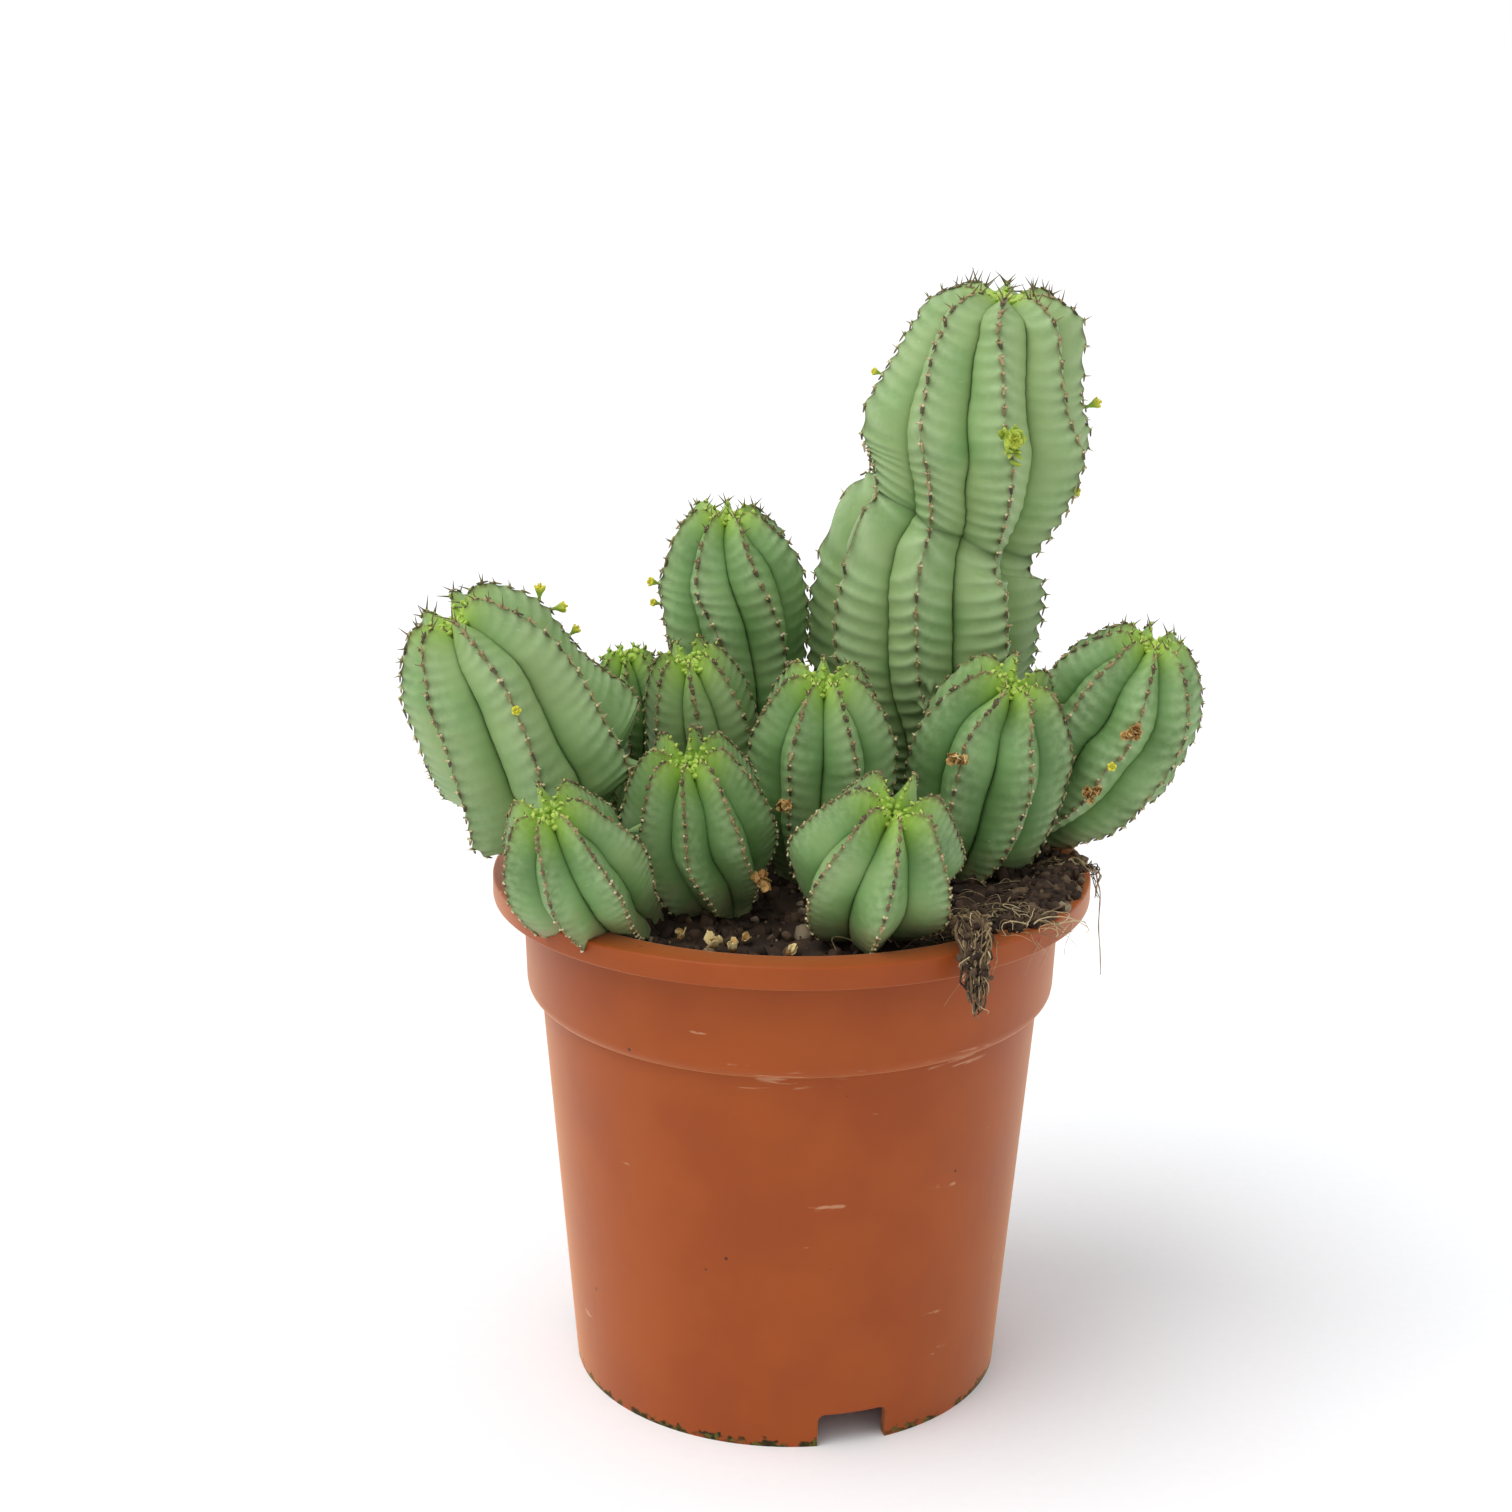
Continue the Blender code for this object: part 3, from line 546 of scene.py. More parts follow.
def pot_profile():
    """From the middle of the floor up the inside, over the rim and down the outside to the foot."""
    floor = BASE_RADIUS + (STEP_RADIUS - BASE_RADIUS) * FLOOR_TOP / STEP_HEIGHT
    inside = [
        (0, FLOOR_TOP), (floor - WALL, FLOOR_TOP), (STEP_RADIUS - WALL, STEP_HEIGHT),
        (COLLAR_FOOT - WALL, STEP_HEIGHT + STEP_ROUND), (COLLAR_TOP - WALL + 0.6, RIM_TOP),
    ]
    lip = RIM_RADIUS - RIM_THICKNESS
    rim = [
        (RIM_RADIUS, RIM_TOP), (RIM_RADIUS, RIM_TOP - RIM_BAND), (lip, RIM_TOP - RIM_BAND),
        (lip, RIM_TOP - RIM_THICKNESS), (COLLAR_TOP, RIM_TOP - RIM_THICKNESS),
    ]
    collar = [(COLLAR_FOOT, STEP_HEIGHT + STEP_ROUND)]
    collar += arc((STEP_RADIUS, STEP_HEIGHT + STEP_ROUND), STEP_ROUND, -20, -90, 6)
    foot = [(BASE_RADIUS, 0), (BASE_RADIUS - FOOT_WIDTH, 0)]
    under = [(BASE_RADIUS - FOOT_WIDTH + 0.6, FLOOR_UNDERSIDE), (CENTRE_FOOT, FLOOR_UNDERSIDE)]
    under += [(CENTRE_FOOT - 0.6, 0), (0, 0)]
    return rounded(inside + rim, 0.8) + collar + rounded(foot + under, 0.7)


def build_pot(settings, material):
    shape = bmesh.new()
    points = [shape.verts.new((r * MM, 0, z * MM)) for r, z in pot_profile()]
    for start, end in zip(points, points[1:]):
        shape.edges.new((start, end))
    mesh = bpy.data.meshes.new("nursery_pot_shell")
    shape.to_mesh(mesh)
    shape.free()
    pot = bpy.data.objects.new("nursery_pot_shell", mesh)
    bpy.context.scene.collection.objects.link(pot)
    screw = pot.modifiers.new("turn", "SCREW")
    screw.steps = screw.render_steps = settings.pot_steps
    screw.use_merge_vertices = True
    screw.merge_threshold = 0.00002
    cutters = []
    for angle in NOTCH_ANGLES:
        cube = bmesh.new()
        bmesh.ops.create_cube(cube, size=1)
        bmesh.ops.scale(cube, vec=[side * MM for side in NOTCH_SIZE], verts=cube.verts)
        bmesh.ops.bevel(
            cube, geom=cube.edges, offset=NOTCH_ROUND * MM, segments=4, affect="EDGES", profile=0.5
        )
        cutter_mesh = bpy.data.meshes.new("notch")
        cube.to_mesh(cutter_mesh)
        cube.free()
        cutter = bpy.data.objects.new("notch", cutter_mesh)
        bpy.context.scene.collection.objects.link(cutter)
        direction = math.radians(angle)
        cutter.rotation_euler.z = direction
        cutter.location = Vector((math.cos(direction), math.sin(direction), 0)) * BASE_RADIUS * MM
        cut = pot.modifiers.new("notch", "BOOLEAN")
        cut.object = cutter
        cutters.append(cutter)
    bpy.context.view_layer.update()
    seen = pot.evaluated_get(bpy.context.evaluated_depsgraph_get())
    pot.data = bpy.data.meshes.new_from_object(seen)
    pot.modifiers.clear()
    for cutter in cutters:
        bpy.data.objects.remove(cutter)
    # A thin moulded wall is never quite round or flat.
    for vertex in pot.data.vertices:
        around = math.atan2(vertex.co.y, vertex.co.x)
        sag = 0.25 * math.sin(2 * around + 0.7) + 0.12 * math.sin(5 * around + vertex.co.z / (22 * MM))
        outward = Vector((vertex.co.x, vertex.co.y, 0))
        if outward.length > 30 * MM and vertex.co.z > 2 * MM:
            vertex.co += outward.normalized() * sag * MM * min(vertex.co.z / (60 * MM), 1)
    pot.data.shade_smooth()
    pot.data.set_sharp_from_angle(angle=math.radians(38))
    pot.data.materials.clear()
    pot.data.materials.append(material)
    return settle(pot, ("nursery_pot",))


# ---------------------------------------------------------------- soil


def soil_height(x, y):
    """The soil's surface in mm: lumpy, and heaped to the right."""
    place = Vector((x, y, 0))
    lumps = 1.7 * noise.noise(place / 9) + 1.2 * noise.noise(place / 4) + 0.7 * noise.noise(place / 1.7)
    heap = min(max(0, (x - 20) / 50), 1) ** 2 * max(0, math.cos(math.atan2(y, x) + 0.35)) ** 3
    return SOIL_TOP + lumps + SOIL_HEAP * heap


def build_soil(material):
    """The closed body of the soil, with a fine lumpy top."""
    rings, sides = 66, 264
    vertices = [(0, 0, soil_height(0, 0))]
    for ring in range(1, rings + 1):
        radius = SOIL_RADIUS * ring / rings
        for side in range(sides):
            angle = 2 * math.pi * side / sides
            x, y = radius * math.cos(angle), radius * math.sin(angle)
            vertices.append((x, y, soil_height(x, y)))
    floor = FLOOR_TOP + 0.3
    side_rings = (
        (STEP_RADIUS + 1, STEP_HEIGHT + STEP_ROUND), (STEP_RADIUS - WALL - 0.5, STEP_HEIGHT),
        (BASE_RADIUS - WALL, floor),
    )
    for radius, height in side_rings:
        for side in range(sides):
            angle = 2 * math.pi * side / sides
            vertices.append((radius * math.cos(angle), radius * math.sin(angle), height))
    vertices.append((0, 0, floor))
    faces = [(0, 1 + side, 1 + (side + 1) % sides) for side in range(sides)]
    total = rings + 3
    for ring in range(total - 1):
        for side in range(sides):
            a, b = 1 + ring * sides + side, 1 + ring * sides + (side + 1) % sides
            faces.append((a, a + sides, b + sides, b))
    last = 1 + (total - 1) * sides
    faces += [(last + (side + 1) % sides, last + side, last + sides) for side in range(sides)]
    tone = [0.3 + 0.35 * noise.noise(Vector(v) / 5) for v in vertices]
    return make_piece(
        "potting_soil_body", np.array(vertices) * MM, faces, material, ("potting_soil",),
        {"tone": tone},
    )


def crumb_shapes(chance, count):
    """Lumps of bark and peat with broken, uneven sides."""
    shapes = []
    for number in range(count):
        shape = bmesh.new()
        bmesh.ops.create_icosphere(shape, subdivisions=2, radius=1)
        offset = Vector((number * 7.3, 1.7, 2.9))
        for vertex in shape.verts:
            rough = 0.42 * noise.noise(vertex.co * 1.3 + offset) + 0.2 * noise.noise(vertex.co * 3 + offset)
            vertex.co *= 1 + rough
            for axis in range(3):
                limit = 0.62 + 0.2 * chance.random()
                vertex.co[axis] = max(min(vertex.co[axis], limit), -limit)
        shapes.append(shape_arrays(shape))
    return shapes


def random_turn(chance):
    angles = [chance.uniform(0, 2 * math.pi) for _ in range(3)]
    return np.array(Euler(angles).to_matrix())


def build_crumbs(settings, material):
    """Loose crumbs of bark, peat and grit over the soil, thicker on the heap at the right."""
    chance = random.Random(11)
    shapes = crumb_shapes(chance, 9)
    heap = Heap()
    spilled = settings.crumbs // 3
    for number in range(settings.crumbs):
        angle = chance.uniform(0, 2 * math.pi)
        radius = (SOIL_RADIUS - 2.5) * math.sqrt(chance.random())
        size = 0.6 + 2.9 * chance.random() ** 2.4
        if number < spilled:
            # Some of the heap has slid on to the rim.
            angle, radius = chance.triangular(-0.95, 0.25, -0.4), chance.triangular(66, 84, 77)
            size = 0.5 + 0.7 * size
        x, y = radius * math.cos(angle), radius * math.sin(angle)
        scale = np.diag([size, size * chance.uniform(0.6, 1), size * chance.uniform(0.35, 0.8)])
        turn = random_turn(chance) @ scale * MM
        ground = soil_height(x, y)
        if radius > SOIL_RADIUS:
            slope = (RIM_RADIUS - radius) / (RIM_RADIUS - SOIL_RADIUS)
            ground = RIM_TOP + 0.3 + max(ground - RIM_TOP, 0) * slope * chance.random()
        place = Vector((x, y, ground + size * 0.25)) * MM
        heap.add(chance.choice(shapes), turn, place, tone=chance.betavariate(2, 3))
    return heap.piece("bark_crumbs", material, "dark_soil")


# ---------------------------------------------------------------- stems


def stations_at(plant, shares):
    """A Catmull-Rom curve through the stations: rows of x, y, z, radius and turn."""
    path = np.array(plant.path, float)
    steps = np.linalg.norm(np.diff(path[:, :3], axis=0), axis=1)
    heights = np.concatenate([[0], np.cumsum(steps)])
    along = np.clip(shares, 0, 1) * heights[-1]
    index = np.clip(np.searchsorted(heights, along, side="right") - 1, 0, len(path) - 2)
    t = ((along - heights[index]) / (heights[index + 1] - heights[index]))[:, None]
    p0, p1, p2, p3 = (path[np.clip(index + k, 0, len(path) - 1)] for k in (-1, 0, 1, 2))
    return 0.5 * (2 * p1 + (p2 - p0) * t + (2 * p0 - 5 * p1 + 4 * p2 - p3) * t**2
                  + (3 * p1 - p0 - 3 * p2 + p3) * t**3)


def stem_length(plant):
    path = np.array(plant.path, float)
    return np.linalg.norm(np.diff(path[:, :3], axis=0), axis=1).sum()


def stem_root(plant):
    """The root is just over the lowest point of the stem's own solid."""
    lowest = min((v.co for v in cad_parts[plant.name].data.vertices), key=lambda co: co.z)
    return np.array(lowest) / MM + (0, 0, TAP_LENGTH)


def tooth(phase):
    """One spine cushion after another: a steep step under each, then a slow rise to the next."""
    part = phase % 1
    return 0.5 + 0.5 * np.cos(2 * np.pi * part**0.75)


class Skin:
    """A stem's surface as a grid of rows along the stem and columns round it, in mm."""

    def __init__(self, plant, settings, number):
        self.plant = plant
        self.number = number
        step = settings.skin_step / MM
        length = stem_length(plant)
        top = plant.path[-1][3] * 1.3
        crown_rows = int(1.35 * max(top, length * (1 - plant.shoulder)) / step)
        body = np.linspace(0, plant.shoulder, int(length * plant.shoulder / step), endpoint=False)
        crown = np.sin(np.linspace(0, np.pi / 2, crown_rows + 1)[:-1]) ** (2 / CROWN_POWER)
        self.shares = np.concatenate([body, plant.shoulder + (1 - plant.shoulder) * crown])
        self.half = settings.rib_columns
        spread = np.linspace(0, 1, self.half + 1)
        self.side_u = 0.5 * (spread + 0.5 - 0.5 * np.cos(np.pi * spread))
        self.root = stem_root(plant)
        self.draw()
        self.roughen()
        self.rest_on_rim()

    def wander(self, seed, scale):
        """Smooth wander along the stem, one value for each row."""
        return np.array([noise.noise(Vector((d / scale, seed, self.number))) for d in self.from_tip])

    def pinch(self, height):
        """A waist where growth stopped for a winter: the newer part swells over the older."""
        waist = WAISTS.get(self.plant.name)
        if not waist:
            return np.ones_like(height), np.zeros_like(height)
        place, depth = waist
        below = np.exp(-np.clip(place - height, 0, None) / 5.0)
        above = np.exp(-np.clip(height - place, 0, None) / 2.2)
        near = np.where(height < place, below, above)
        return 1 - depth * near, np.exp(-np.abs(height - place) / 0.9)

    def draw(self):
        plant, shares = self.plant, self.shares
        here = stations_at(plant, shares)
        ahead = stations_at(plant, np.minimum(shares + SLOPE_STEP, 1))[:, :3]
        behind = stations_at(plant, np.maximum(shares - SLOPE_STEP, 0))[:, :3]
        along = unit(ahead - behind)
        side = unit(np.array([1.0, 0, 0]) - along * along[:, :1])
        away = np.cross(along, side)
        crown = np.clip((shares - plant.shoulder) / (1 - plant.shoulder), 0, 1)
        neck = np.clip(1 - shares / NECK_SHARE, 0, 1)
        roundness = np.sqrt(np.maximum(1 - crown**CROWN_POWER, 0)) * np.sqrt(1 - 0.6 * neck**4)
        groove = plant.groove + (1 - plant.groove) * 0.6 * neck
        waist, crease_shade = self.pinch(shares * stem_length(plant))
        radius = here[:, 3] * roundness * waist
        lift = plant.lift * np.sin(np.pi * roundness**1.1) ** 1.2 * (crown > 0)
        axis = here[:, :3] + self.root
        turn = np.radians(here[:, 4] - 90)
        crest_line = axis + (side * np.cos(turn)[:, None] + away * np.sin(turn)[:, None]) * radius[:, None]
        crest_line += along * lift[:, None]
        steps = np.linalg.norm(np.diff(crest_line, axis=0), axis=1)
        distance = np.concatenate([np.cumsum(steps[::-1])[::-1], [0]])
        self.from_tip = distance + 1.2
        spacing = plant.spacing * (0.62 + 0.38 * (1 - np.exp(-self.from_tip / 11)))
        phases = np.concatenate([[0], np.cumsum(-np.diff(distance) / spacing[1:])])
        phases = phases[-1] - phases
        order = np.argsort(self.from_tip)
        old = smoothstep(6, 34, self.from_tip)
        ridge_size = plant.ridges * old * (0.6 + 0.4 * smoothstep(60, 95, self.from_tip))
        share = 2 * math.pi / plant.ribs
        crests = [turn + share * k + 0.05 * self.wander(k * 3.1 + 0.5, 20) for k in range(plant.ribs)]
        grooves = [turn + share * (k - 0.5) + 0.075 * self.wander(k * 2.3 + 31, 17) for k in range(plant.ribs)]
        swells = [1 + 0.03 * self.wander(k * 5.7 + 9, 22) for k in range(plant.ribs)]
        deeps = [groove * (1 + 0.05 * self.wander(k * 4.3 + 57, 15)) for k in range(plant.ribs)]
        u = self.side_u[None, :]
        reach = u ** (1 + 0.45 * crown[:, None])
        blocks, values = [], {key: [] for key in ("crest", "ridge", "young", "groove_shade", "pit_shade", "horn")}
        self.crest_columns, self.phases = [], []
        for rib in range(plant.ribs):
            offset = 0.37 * rib + 0.2 * self.number
            phase_here = phases + offset + 0.25 * self.wander(rib * 6.1 + 77, 12)
            self.phases.append(phase_here)
            for sign in (-1, 1):
                other = (rib + (sign > 0)) % plant.ribs
                lap = share * plant.ribs if sign > 0 and other == 0 else 0
                g, k = (grooves[other] + lap)[:, None], crests[rib][:, None]
                gx, gy = deeps[other][:, None] * np.cos(g), deeps[other][:, None] * np.sin(g)
                kx, ky = swells[rib][:, None] * np.cos(k), swells[rib][:, None] * np.sin(k)
                chord = np.hypot(kx - gx, ky - gy)
                nx, ny = sign * (gy - ky) / chord * -1, sign * (gx - kx) / chord
                inward = nx * kx + ny * ky < 0
                nx, ny = np.where(inward, -nx, nx), np.where(inward, -ny, ny)
                full = plant.fullness * np.sin(np.pi * u**0.6) * (1 - 0.6 * crown[:, None])
                width = chord * radius[:, None] * (1 - u)
                droop = 2.6 * (1 - np.exp(-width / 3)) + 0.12 * width
                shifted = self.from_tip[:, None] - droop
                teeth = tooth(np.interp(shifted, self.from_tip[order], phase_here[order]))
                near = np.exp(-width / 1.3)
                spread = 6 + 6 * ridge_size[:, None]
                ridge = teeth**1.5 * np.exp(-((width / spread) ** 2)) * ridge_size[:, None]
                big = (0.5 + 0.25 * ridge_size + 0.45 * np.exp(-self.from_tip / 14))[:, None]
                big = big * np.minimum(radius / 7, 1)[:, None]
                rise = big * (teeth - 0.5) * near + 0.75 * (ridge - 0.35 * ridge_size[:, None])
                mx, my = nx + (kx - nx) * u**8, ny + (ky - ny) * u**8
                norm = np.maximum(np.hypot(mx, my), 1e-6)
                fade = (roundness > 0.12)[:, None]
                px = (gx + (kx - gx) * reach + nx * full) * radius[:, None] + mx / norm * rise * fade
                py = (gy + (ky - gy) * reach + ny * full) * radius[:, None] + my / norm * rise * fade
                block = axis[:, None, :] + side[:, None, :] * px[..., None] + away[:, None, :] * py[..., None]
                raised = u ** (1.1 + 0.5 * crown[:, None]) * lift[:, None]
                block = block + along[:, None, :] * raised[..., None]
                keep = slice(0, None) if sign < 0 else slice(self.half - 1, 0, -1)
                blocks.append(block[:, keep])
                # Colours painted as light and shade: a dark line along each groove and round the waist, dark
                # notches under the cushions and paler tops on the cross ridges.
                groove_shade = np.exp(-(chord * radius[:, None] * u) / 0.55)
                found = {
                    "crest": np.broadcast_to(u, px.shape),
                    "ridge": teeth**1.5 * np.exp(-((width / spread) ** 2)) * (0.06 + ridge_size)[:, None],
                    "young": np.exp(-(self.from_tip[:, None] + 0.4 * width) / (10 + plant.lift)),
                    "groove_shade": np.maximum(groove_shade, 0.85 * crease_shade[:, None]),
                    "horn": np.exp(-((width / 0.6) ** 2)) * smoothstep(4, 14, self.from_tip)[:, None],
                    "pit_shade": (1 - teeth) ** 1.5 * np.exp(-width / 1.9) * old[:, None],
                }
                for key, rows in found.items():
                    values[key].append(rows[:, keep])
                if sign < 0:
                    self.crest_columns.append(sum(part.shape[1] for part in blocks) - 1)
        self.points = np.concatenate(blocks, axis=1)
        self.values = {key: np.concatenate(parts, axis=1) for key, parts in values.items()}
        self.axis, self.along, self.side, self.away = axis, along, side, away

    def roughen(self):
        """Slow dents and swellings, as living tissue has."""
        flat = self.points.reshape(-1, 3)
        outward = unit(self.points - self.axis[:, None, :]).reshape(-1, 3)
        dent = np.array([noise.noise(Vector(p) / 13) + 0.5 * noise.noise(Vector(p) / 5) for p in flat])
        flat = flat + outward * (0.55 * dent)[:, None]
        self.points = flat.reshape(self.points.shape)

    def rest_on_rim(self):
        """Flesh that hangs over the rim lies on it."""
        p = self.points
        reach = np.hypot(p[..., 0], p[..., 1])
        over = (reach > COLLAR_TOP - WALL - 0.6) & (reach < RIM_RADIUS + 0.3)
        over &= p[..., 2] < RIM_TOP + 0.3
        p[..., 2] = np.where(over, RIM_TOP + 0.3, p[..., 2])
        self.moved = over.reshape(-1)

    def arrays(self):
        """Vertices and faces with a closed foot and tip."""
        rows, columns = self.points.shape[:2]
        foot = self.root - (0, 0, TAP_LENGTH * 0.6)
        tip = stations_at(self.plant, np.array([1.0]))[0, :3] + self.root
        vertices = np.concatenate([self.points.reshape(-1, 3), [foot, tip]])
        a = (np.arange(rows - 1)[:, None] * columns + np.arange(columns)[None, :])
        b = (np.arange(rows - 1)[:, None] * columns + (np.arange(columns)[None, :] + 1) % columns)
        quads = np.stack([a, b, b + columns, a + columns], axis=-1).reshape(-1, 4).tolist()
        ring = np.arange(columns)
        after = (ring + 1) % columns
        low, high = rows * columns, rows * columns + 1
        last = (rows - 1) * columns
        quads += [[low, int(j), int(i)] for i, j in zip(ring, after)]
        quads += [[high, last + int(i), last + int(j)] for i, j in zip(ring, after)]
        return vertices, quads

    def press(self, neighbours):
        """Moves what lies in a neighbour out to the neighbour's skin."""
        flat = self.points.reshape(-1, 3)
        for other in neighbours:
            low, high = other.points.reshape(-1, 3).min(0), other.points.reshape(-1, 3).max(0)
            inside = np.all((flat > low) & (flat < high), axis=1)
            for index in np.nonzero(inside)[0]:
                place = Vector(flat[index])
                nearest, normal, _, _ = other.tree.find_nearest(place, 7)
                if nearest is not None and (place - nearest).dot(normal) < 0.1:
                    flat[index] = nearest + normal * 0.12
                    self.moved[index] = True
        self.points = flat.reshape(self.points.shape)

    def grow_tree(self):
        vertices, faces = self.arrays()
        self.tree = BVHTree.FromPolygons([Vector(v) for v in vertices], faces)

    def cushions(self):
        """Where the spine cushions sit: place, outward, along and distance from the tip."""
        found = []
        columns = self.points.shape[1]
        for rib, column in enumerate(self.crest_columns):
            line, phase = self.points[:, column], self.phases[rib]
            whole = np.floor(phase)
            for row in np.nonzero(whole[1:] != whole[:-1])[0]:
                if self.moved[row * columns + column] or line[row, 2] < SOIL_TOP + 2:
                    continue
                ahead = unit(line[min(row + 3, len(line) - 1)] - line[max(row - 3, 0)])
                outward = line[row] - self.axis[row]
                outward = unit(outward - ahead * outward.dot(ahead))
                found.append((line[row], outward, ahead, self.from_tip[row], rib))
        return found


def build_skins(settings):
    skins = {plant.name: Skin(plant, settings, number) for number, plant in enumerate(STEMS)}
    for skin in skins.values():
        skin.grow_tree()
    for name, neighbours in PRESSED.items():
        skins[name].press([skins[neighbour] for neighbour in neighbours])
    return skins


def build_stem(skin, material):
    vertices, faces = skin.arrays()
    heights = vertices[:, 2]
    patches = np.array([noise.noise(Vector(v) / 15) for v in vertices])
    # Each stem's paleness is painted light and shade: stems in the light paler, shaded ones darker; the patches
    # vary at random.
    tone = np.clip(skin.plant.tone + 0.45 * patches, 0, 1)
    values = {key: np.append(rows.reshape(-1), [0, key == "young"]) for key, rows in skin.values.items()}
    values["base"] = 1 - smoothstep(SOIL_TOP, SOIL_TOP + 24, heights)
    values["tone"] = tone
    name = skin.plant.name
    return make_piece(name + "_skin", vertices * MM, faces, material, (name,), values)


def spine_shape():
    """A thin straight cone with rings along it for bending, foot at the origin and tip at Z 1; its radius is 1
    at the foot.
    """
    shape = bmesh.new()
    bmesh.ops.create_cone(shape, cap_ends=True, segments=6, radius1=1, radius2=0.12, depth=1)
    bmesh.ops.translate(shape, vec=(0, 0, 0.5), verts=shape.verts)
    long_edges = [e for e in shape.edges if abs(e.verts[0].co.z - e.verts[1].co.z) > 0.5]
    bmesh.ops.subdivide_edges(shape, edges=long_edges, cuts=3)
    return shape_arrays(shape)


def shield_shape():
    """A horny scale wrapped over a sharp crest: X across, Y along, Z out."""
    shape = ball(10, 6)
    for vertex in shape.verts:
        x, y, z = vertex.co
        vertex.co.z = z * (0.55 if z > 0 else 0.4) - 0.75 * abs(x)
        vertex.co.x = x * (1 + 0.15 * math.sin(5 * y))
    return shape_arrays(shape)


def leaf_shape():
    """A tiny fleshy leaf, foot at the origin and tip at Z 1."""
    shape = ball(8, 6, (0.34, 0.2, 0.5))
    for vertex in shape.verts:
        height = vertex.co.z + 0.5
        narrow = 1 - 0.55 * height**2
        vertex.co.x *= narrow
        vertex.co.y *= narrow
        vertex.co.y += 0.12 * height**2
        vertex.co.z = height
    return shape_arrays(shape)


def build_spines(skins, material):
    """Spine cushions with their horny shields and pairs of spines, one piece for each stem."""
    spine, shield = spine_shape(), shield_shape()
    nub = shape_arrays(ball(7, 5))
    spine_tip = spine[0][:, 2]
    for skin in skins.values():
        chance = random.Random(skin.number + 40)
        plant = skin.plant
        heap = Heap()
        for place, outward, ahead, distance, _ in skin.cushions():
            if distance < 5.5:
                continue
            across = np.cross(ahead, outward)
            old = float(smoothstep(10, 45, np.array(distance)))
            grown = float(smoothstep(5, 16, np.array(distance)))
            scale = min(plant.spacing / 3.7, 1) * (0.45 + 0.55 * grown)
            wide = (0.72 - 0.2 * old) * chance.uniform(0.7, 1.2) * scale
            tall = plant.spacing * (0.5 - 0.14 * old) * chance.uniform(0.6, 1.1) * (0.5 + 0.5 * grown)
            twist = ahead + across * chance.uniform(-0.25, 0.25)
            turn = axes_matrix(across, unit(twist), outward, (wide, tall, 0.4))
            shift = -0.2 * plant.spacing * old
            heap.add(shield, turn * MM, (place + outward * 0.02 + ahead * shift) * MM,
                     tone=chance.uniform(0.05, 0.75), tip=0)
            # The pale seats of the two spines.
            for sign in (-1, 1):
                seat = chance.uniform(0.3, 0.5) * scale
                turn = axes_matrix(across, ahead, outward, (seat * 1.2, seat, seat * 0.9))
                aside = across * sign * 0.4 * scale + ahead * chance.uniform(-0.2, 0.4)
                heap.add(nub, turn * MM, (place + aside + outward * 0.05) * MM,
                         tone=chance.uniform(0.2, 0.7) + 0.3 * old, tip=0)
            longest = plant.spine * (0.28 + 0.72 * math.exp(-max(distance - 9, 0) / 10))
            for sign in (-1, 1):
                if chance.random() < 0.15 + 0.3 * old:
                    continue
                length = longest * chance.uniform(0.6, 1.1)
                lean = outward * chance.uniform(0.7, 1) + across * sign * chance.uniform(0.35, 0.8)
                lean = unit(lean + ahead * chance.uniform(-0.1, 0.45))
                second = unit(np.cross(lean, ahead + 0.01))
                thick = 0.23 + 0.08 * length / 5
                turn = axes_matrix(second, np.cross(lean, second), lean, (thick, thick, length))
                bent = spine[0].copy()
                bent[:, 0] += 0.25 * sign * spine_tip**2 / thick * chance.uniform(0, 0.5)
                heap.add((bent, spine[1]), turn * MM, (place + across * sign * 0.25) * MM,
                         tone=0.5 + 0.4 * old, tip=0.1 + 0.75 * spine_tip * (1 - 0.7 * old))
        heap.piece(plant.name + "_spines", material, "euphorbia_skin")


def build_leaves(skins, material):
    """Rosettes of tiny leaves and soft teeth round each growing tip."""
    leaf = leaf_shape()
    for skin in skins.values():
        chance = random.Random(skin.number + 90)
        heap = Heap()
        tip = stations_at(skin.plant, np.array([1.0]))[0, :3] + skin.root
        up = skin.along[-1]

        def add_leaf(place, lean, face, length, plump):
            second = unit(np.cross(face, lean))
            turn = axes_matrix(second, np.cross(lean, second), lean, (length * plump, length * plump, length))
            heap.add(leaf, turn * MM, place * MM, tip=leaf[0][:, 2])

        for place, outward, ahead, distance, _ in skin.cushions():
            if distance > 13:
                continue
            fresh = 1 - distance / 15
            for sign in (-1, 1) if distance < 7 else (1,):
                loose = np.array([chance.uniform(-0.25, 0.25) for _ in range(3)])
                lean = unit(0.5 * up + 0.75 * outward + sign * 0.25 * np.cross(ahead, outward) + loose)
                length = chance.uniform(1.7, 2.6) * (0.4 + 0.6 * fresh)
                add_leaf(place - lean * 0.5, lean, outward, length, 1.5)
        radius = 0.23 * skin.plant.path[-1][3]
        for number in range(20):
            angle = number * 2.4
            spread = radius * math.sqrt((number + 0.5) / 20)
            sideways = skin.side[-1] * math.cos(angle) + skin.away[-1] * math.sin(angle)
            lean = unit(up + sideways * (0.1 + 0.22 * spread))
            place = tip + sideways * spread + up * (0.16 * spread - 0.3)
            add_leaf(place - up * 0.4, lean, sideways, chance.uniform(2.3, 3.3), chance.uniform(1.3, 1.7))
        heap.piece(skin.plant.name + "_leaves", material, "euphorbia_skin")


# ---------------------------------------------------------------- flowers and litter


def nearest_cushion(skins, node):
    """The crest that a flower's own solid grows on, and the way it points."""
    low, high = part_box(node)
    centre = np.array((low + high) / 2) / MM
    best, gap = None, 1e9
    for skin in skins.values():
        for place, outward, ahead, _, _ in skin.cushions():
            away = np.linalg.norm(place - centre)
            if away < gap:
                best, gap = (place, outward, ahead), away
    place, outward, ahead = best
    direction = unit(centre - place) if gap > 0.5 else outward
    return place, unit(direction + 0.5 * outward + LIGHTWARD), ahead


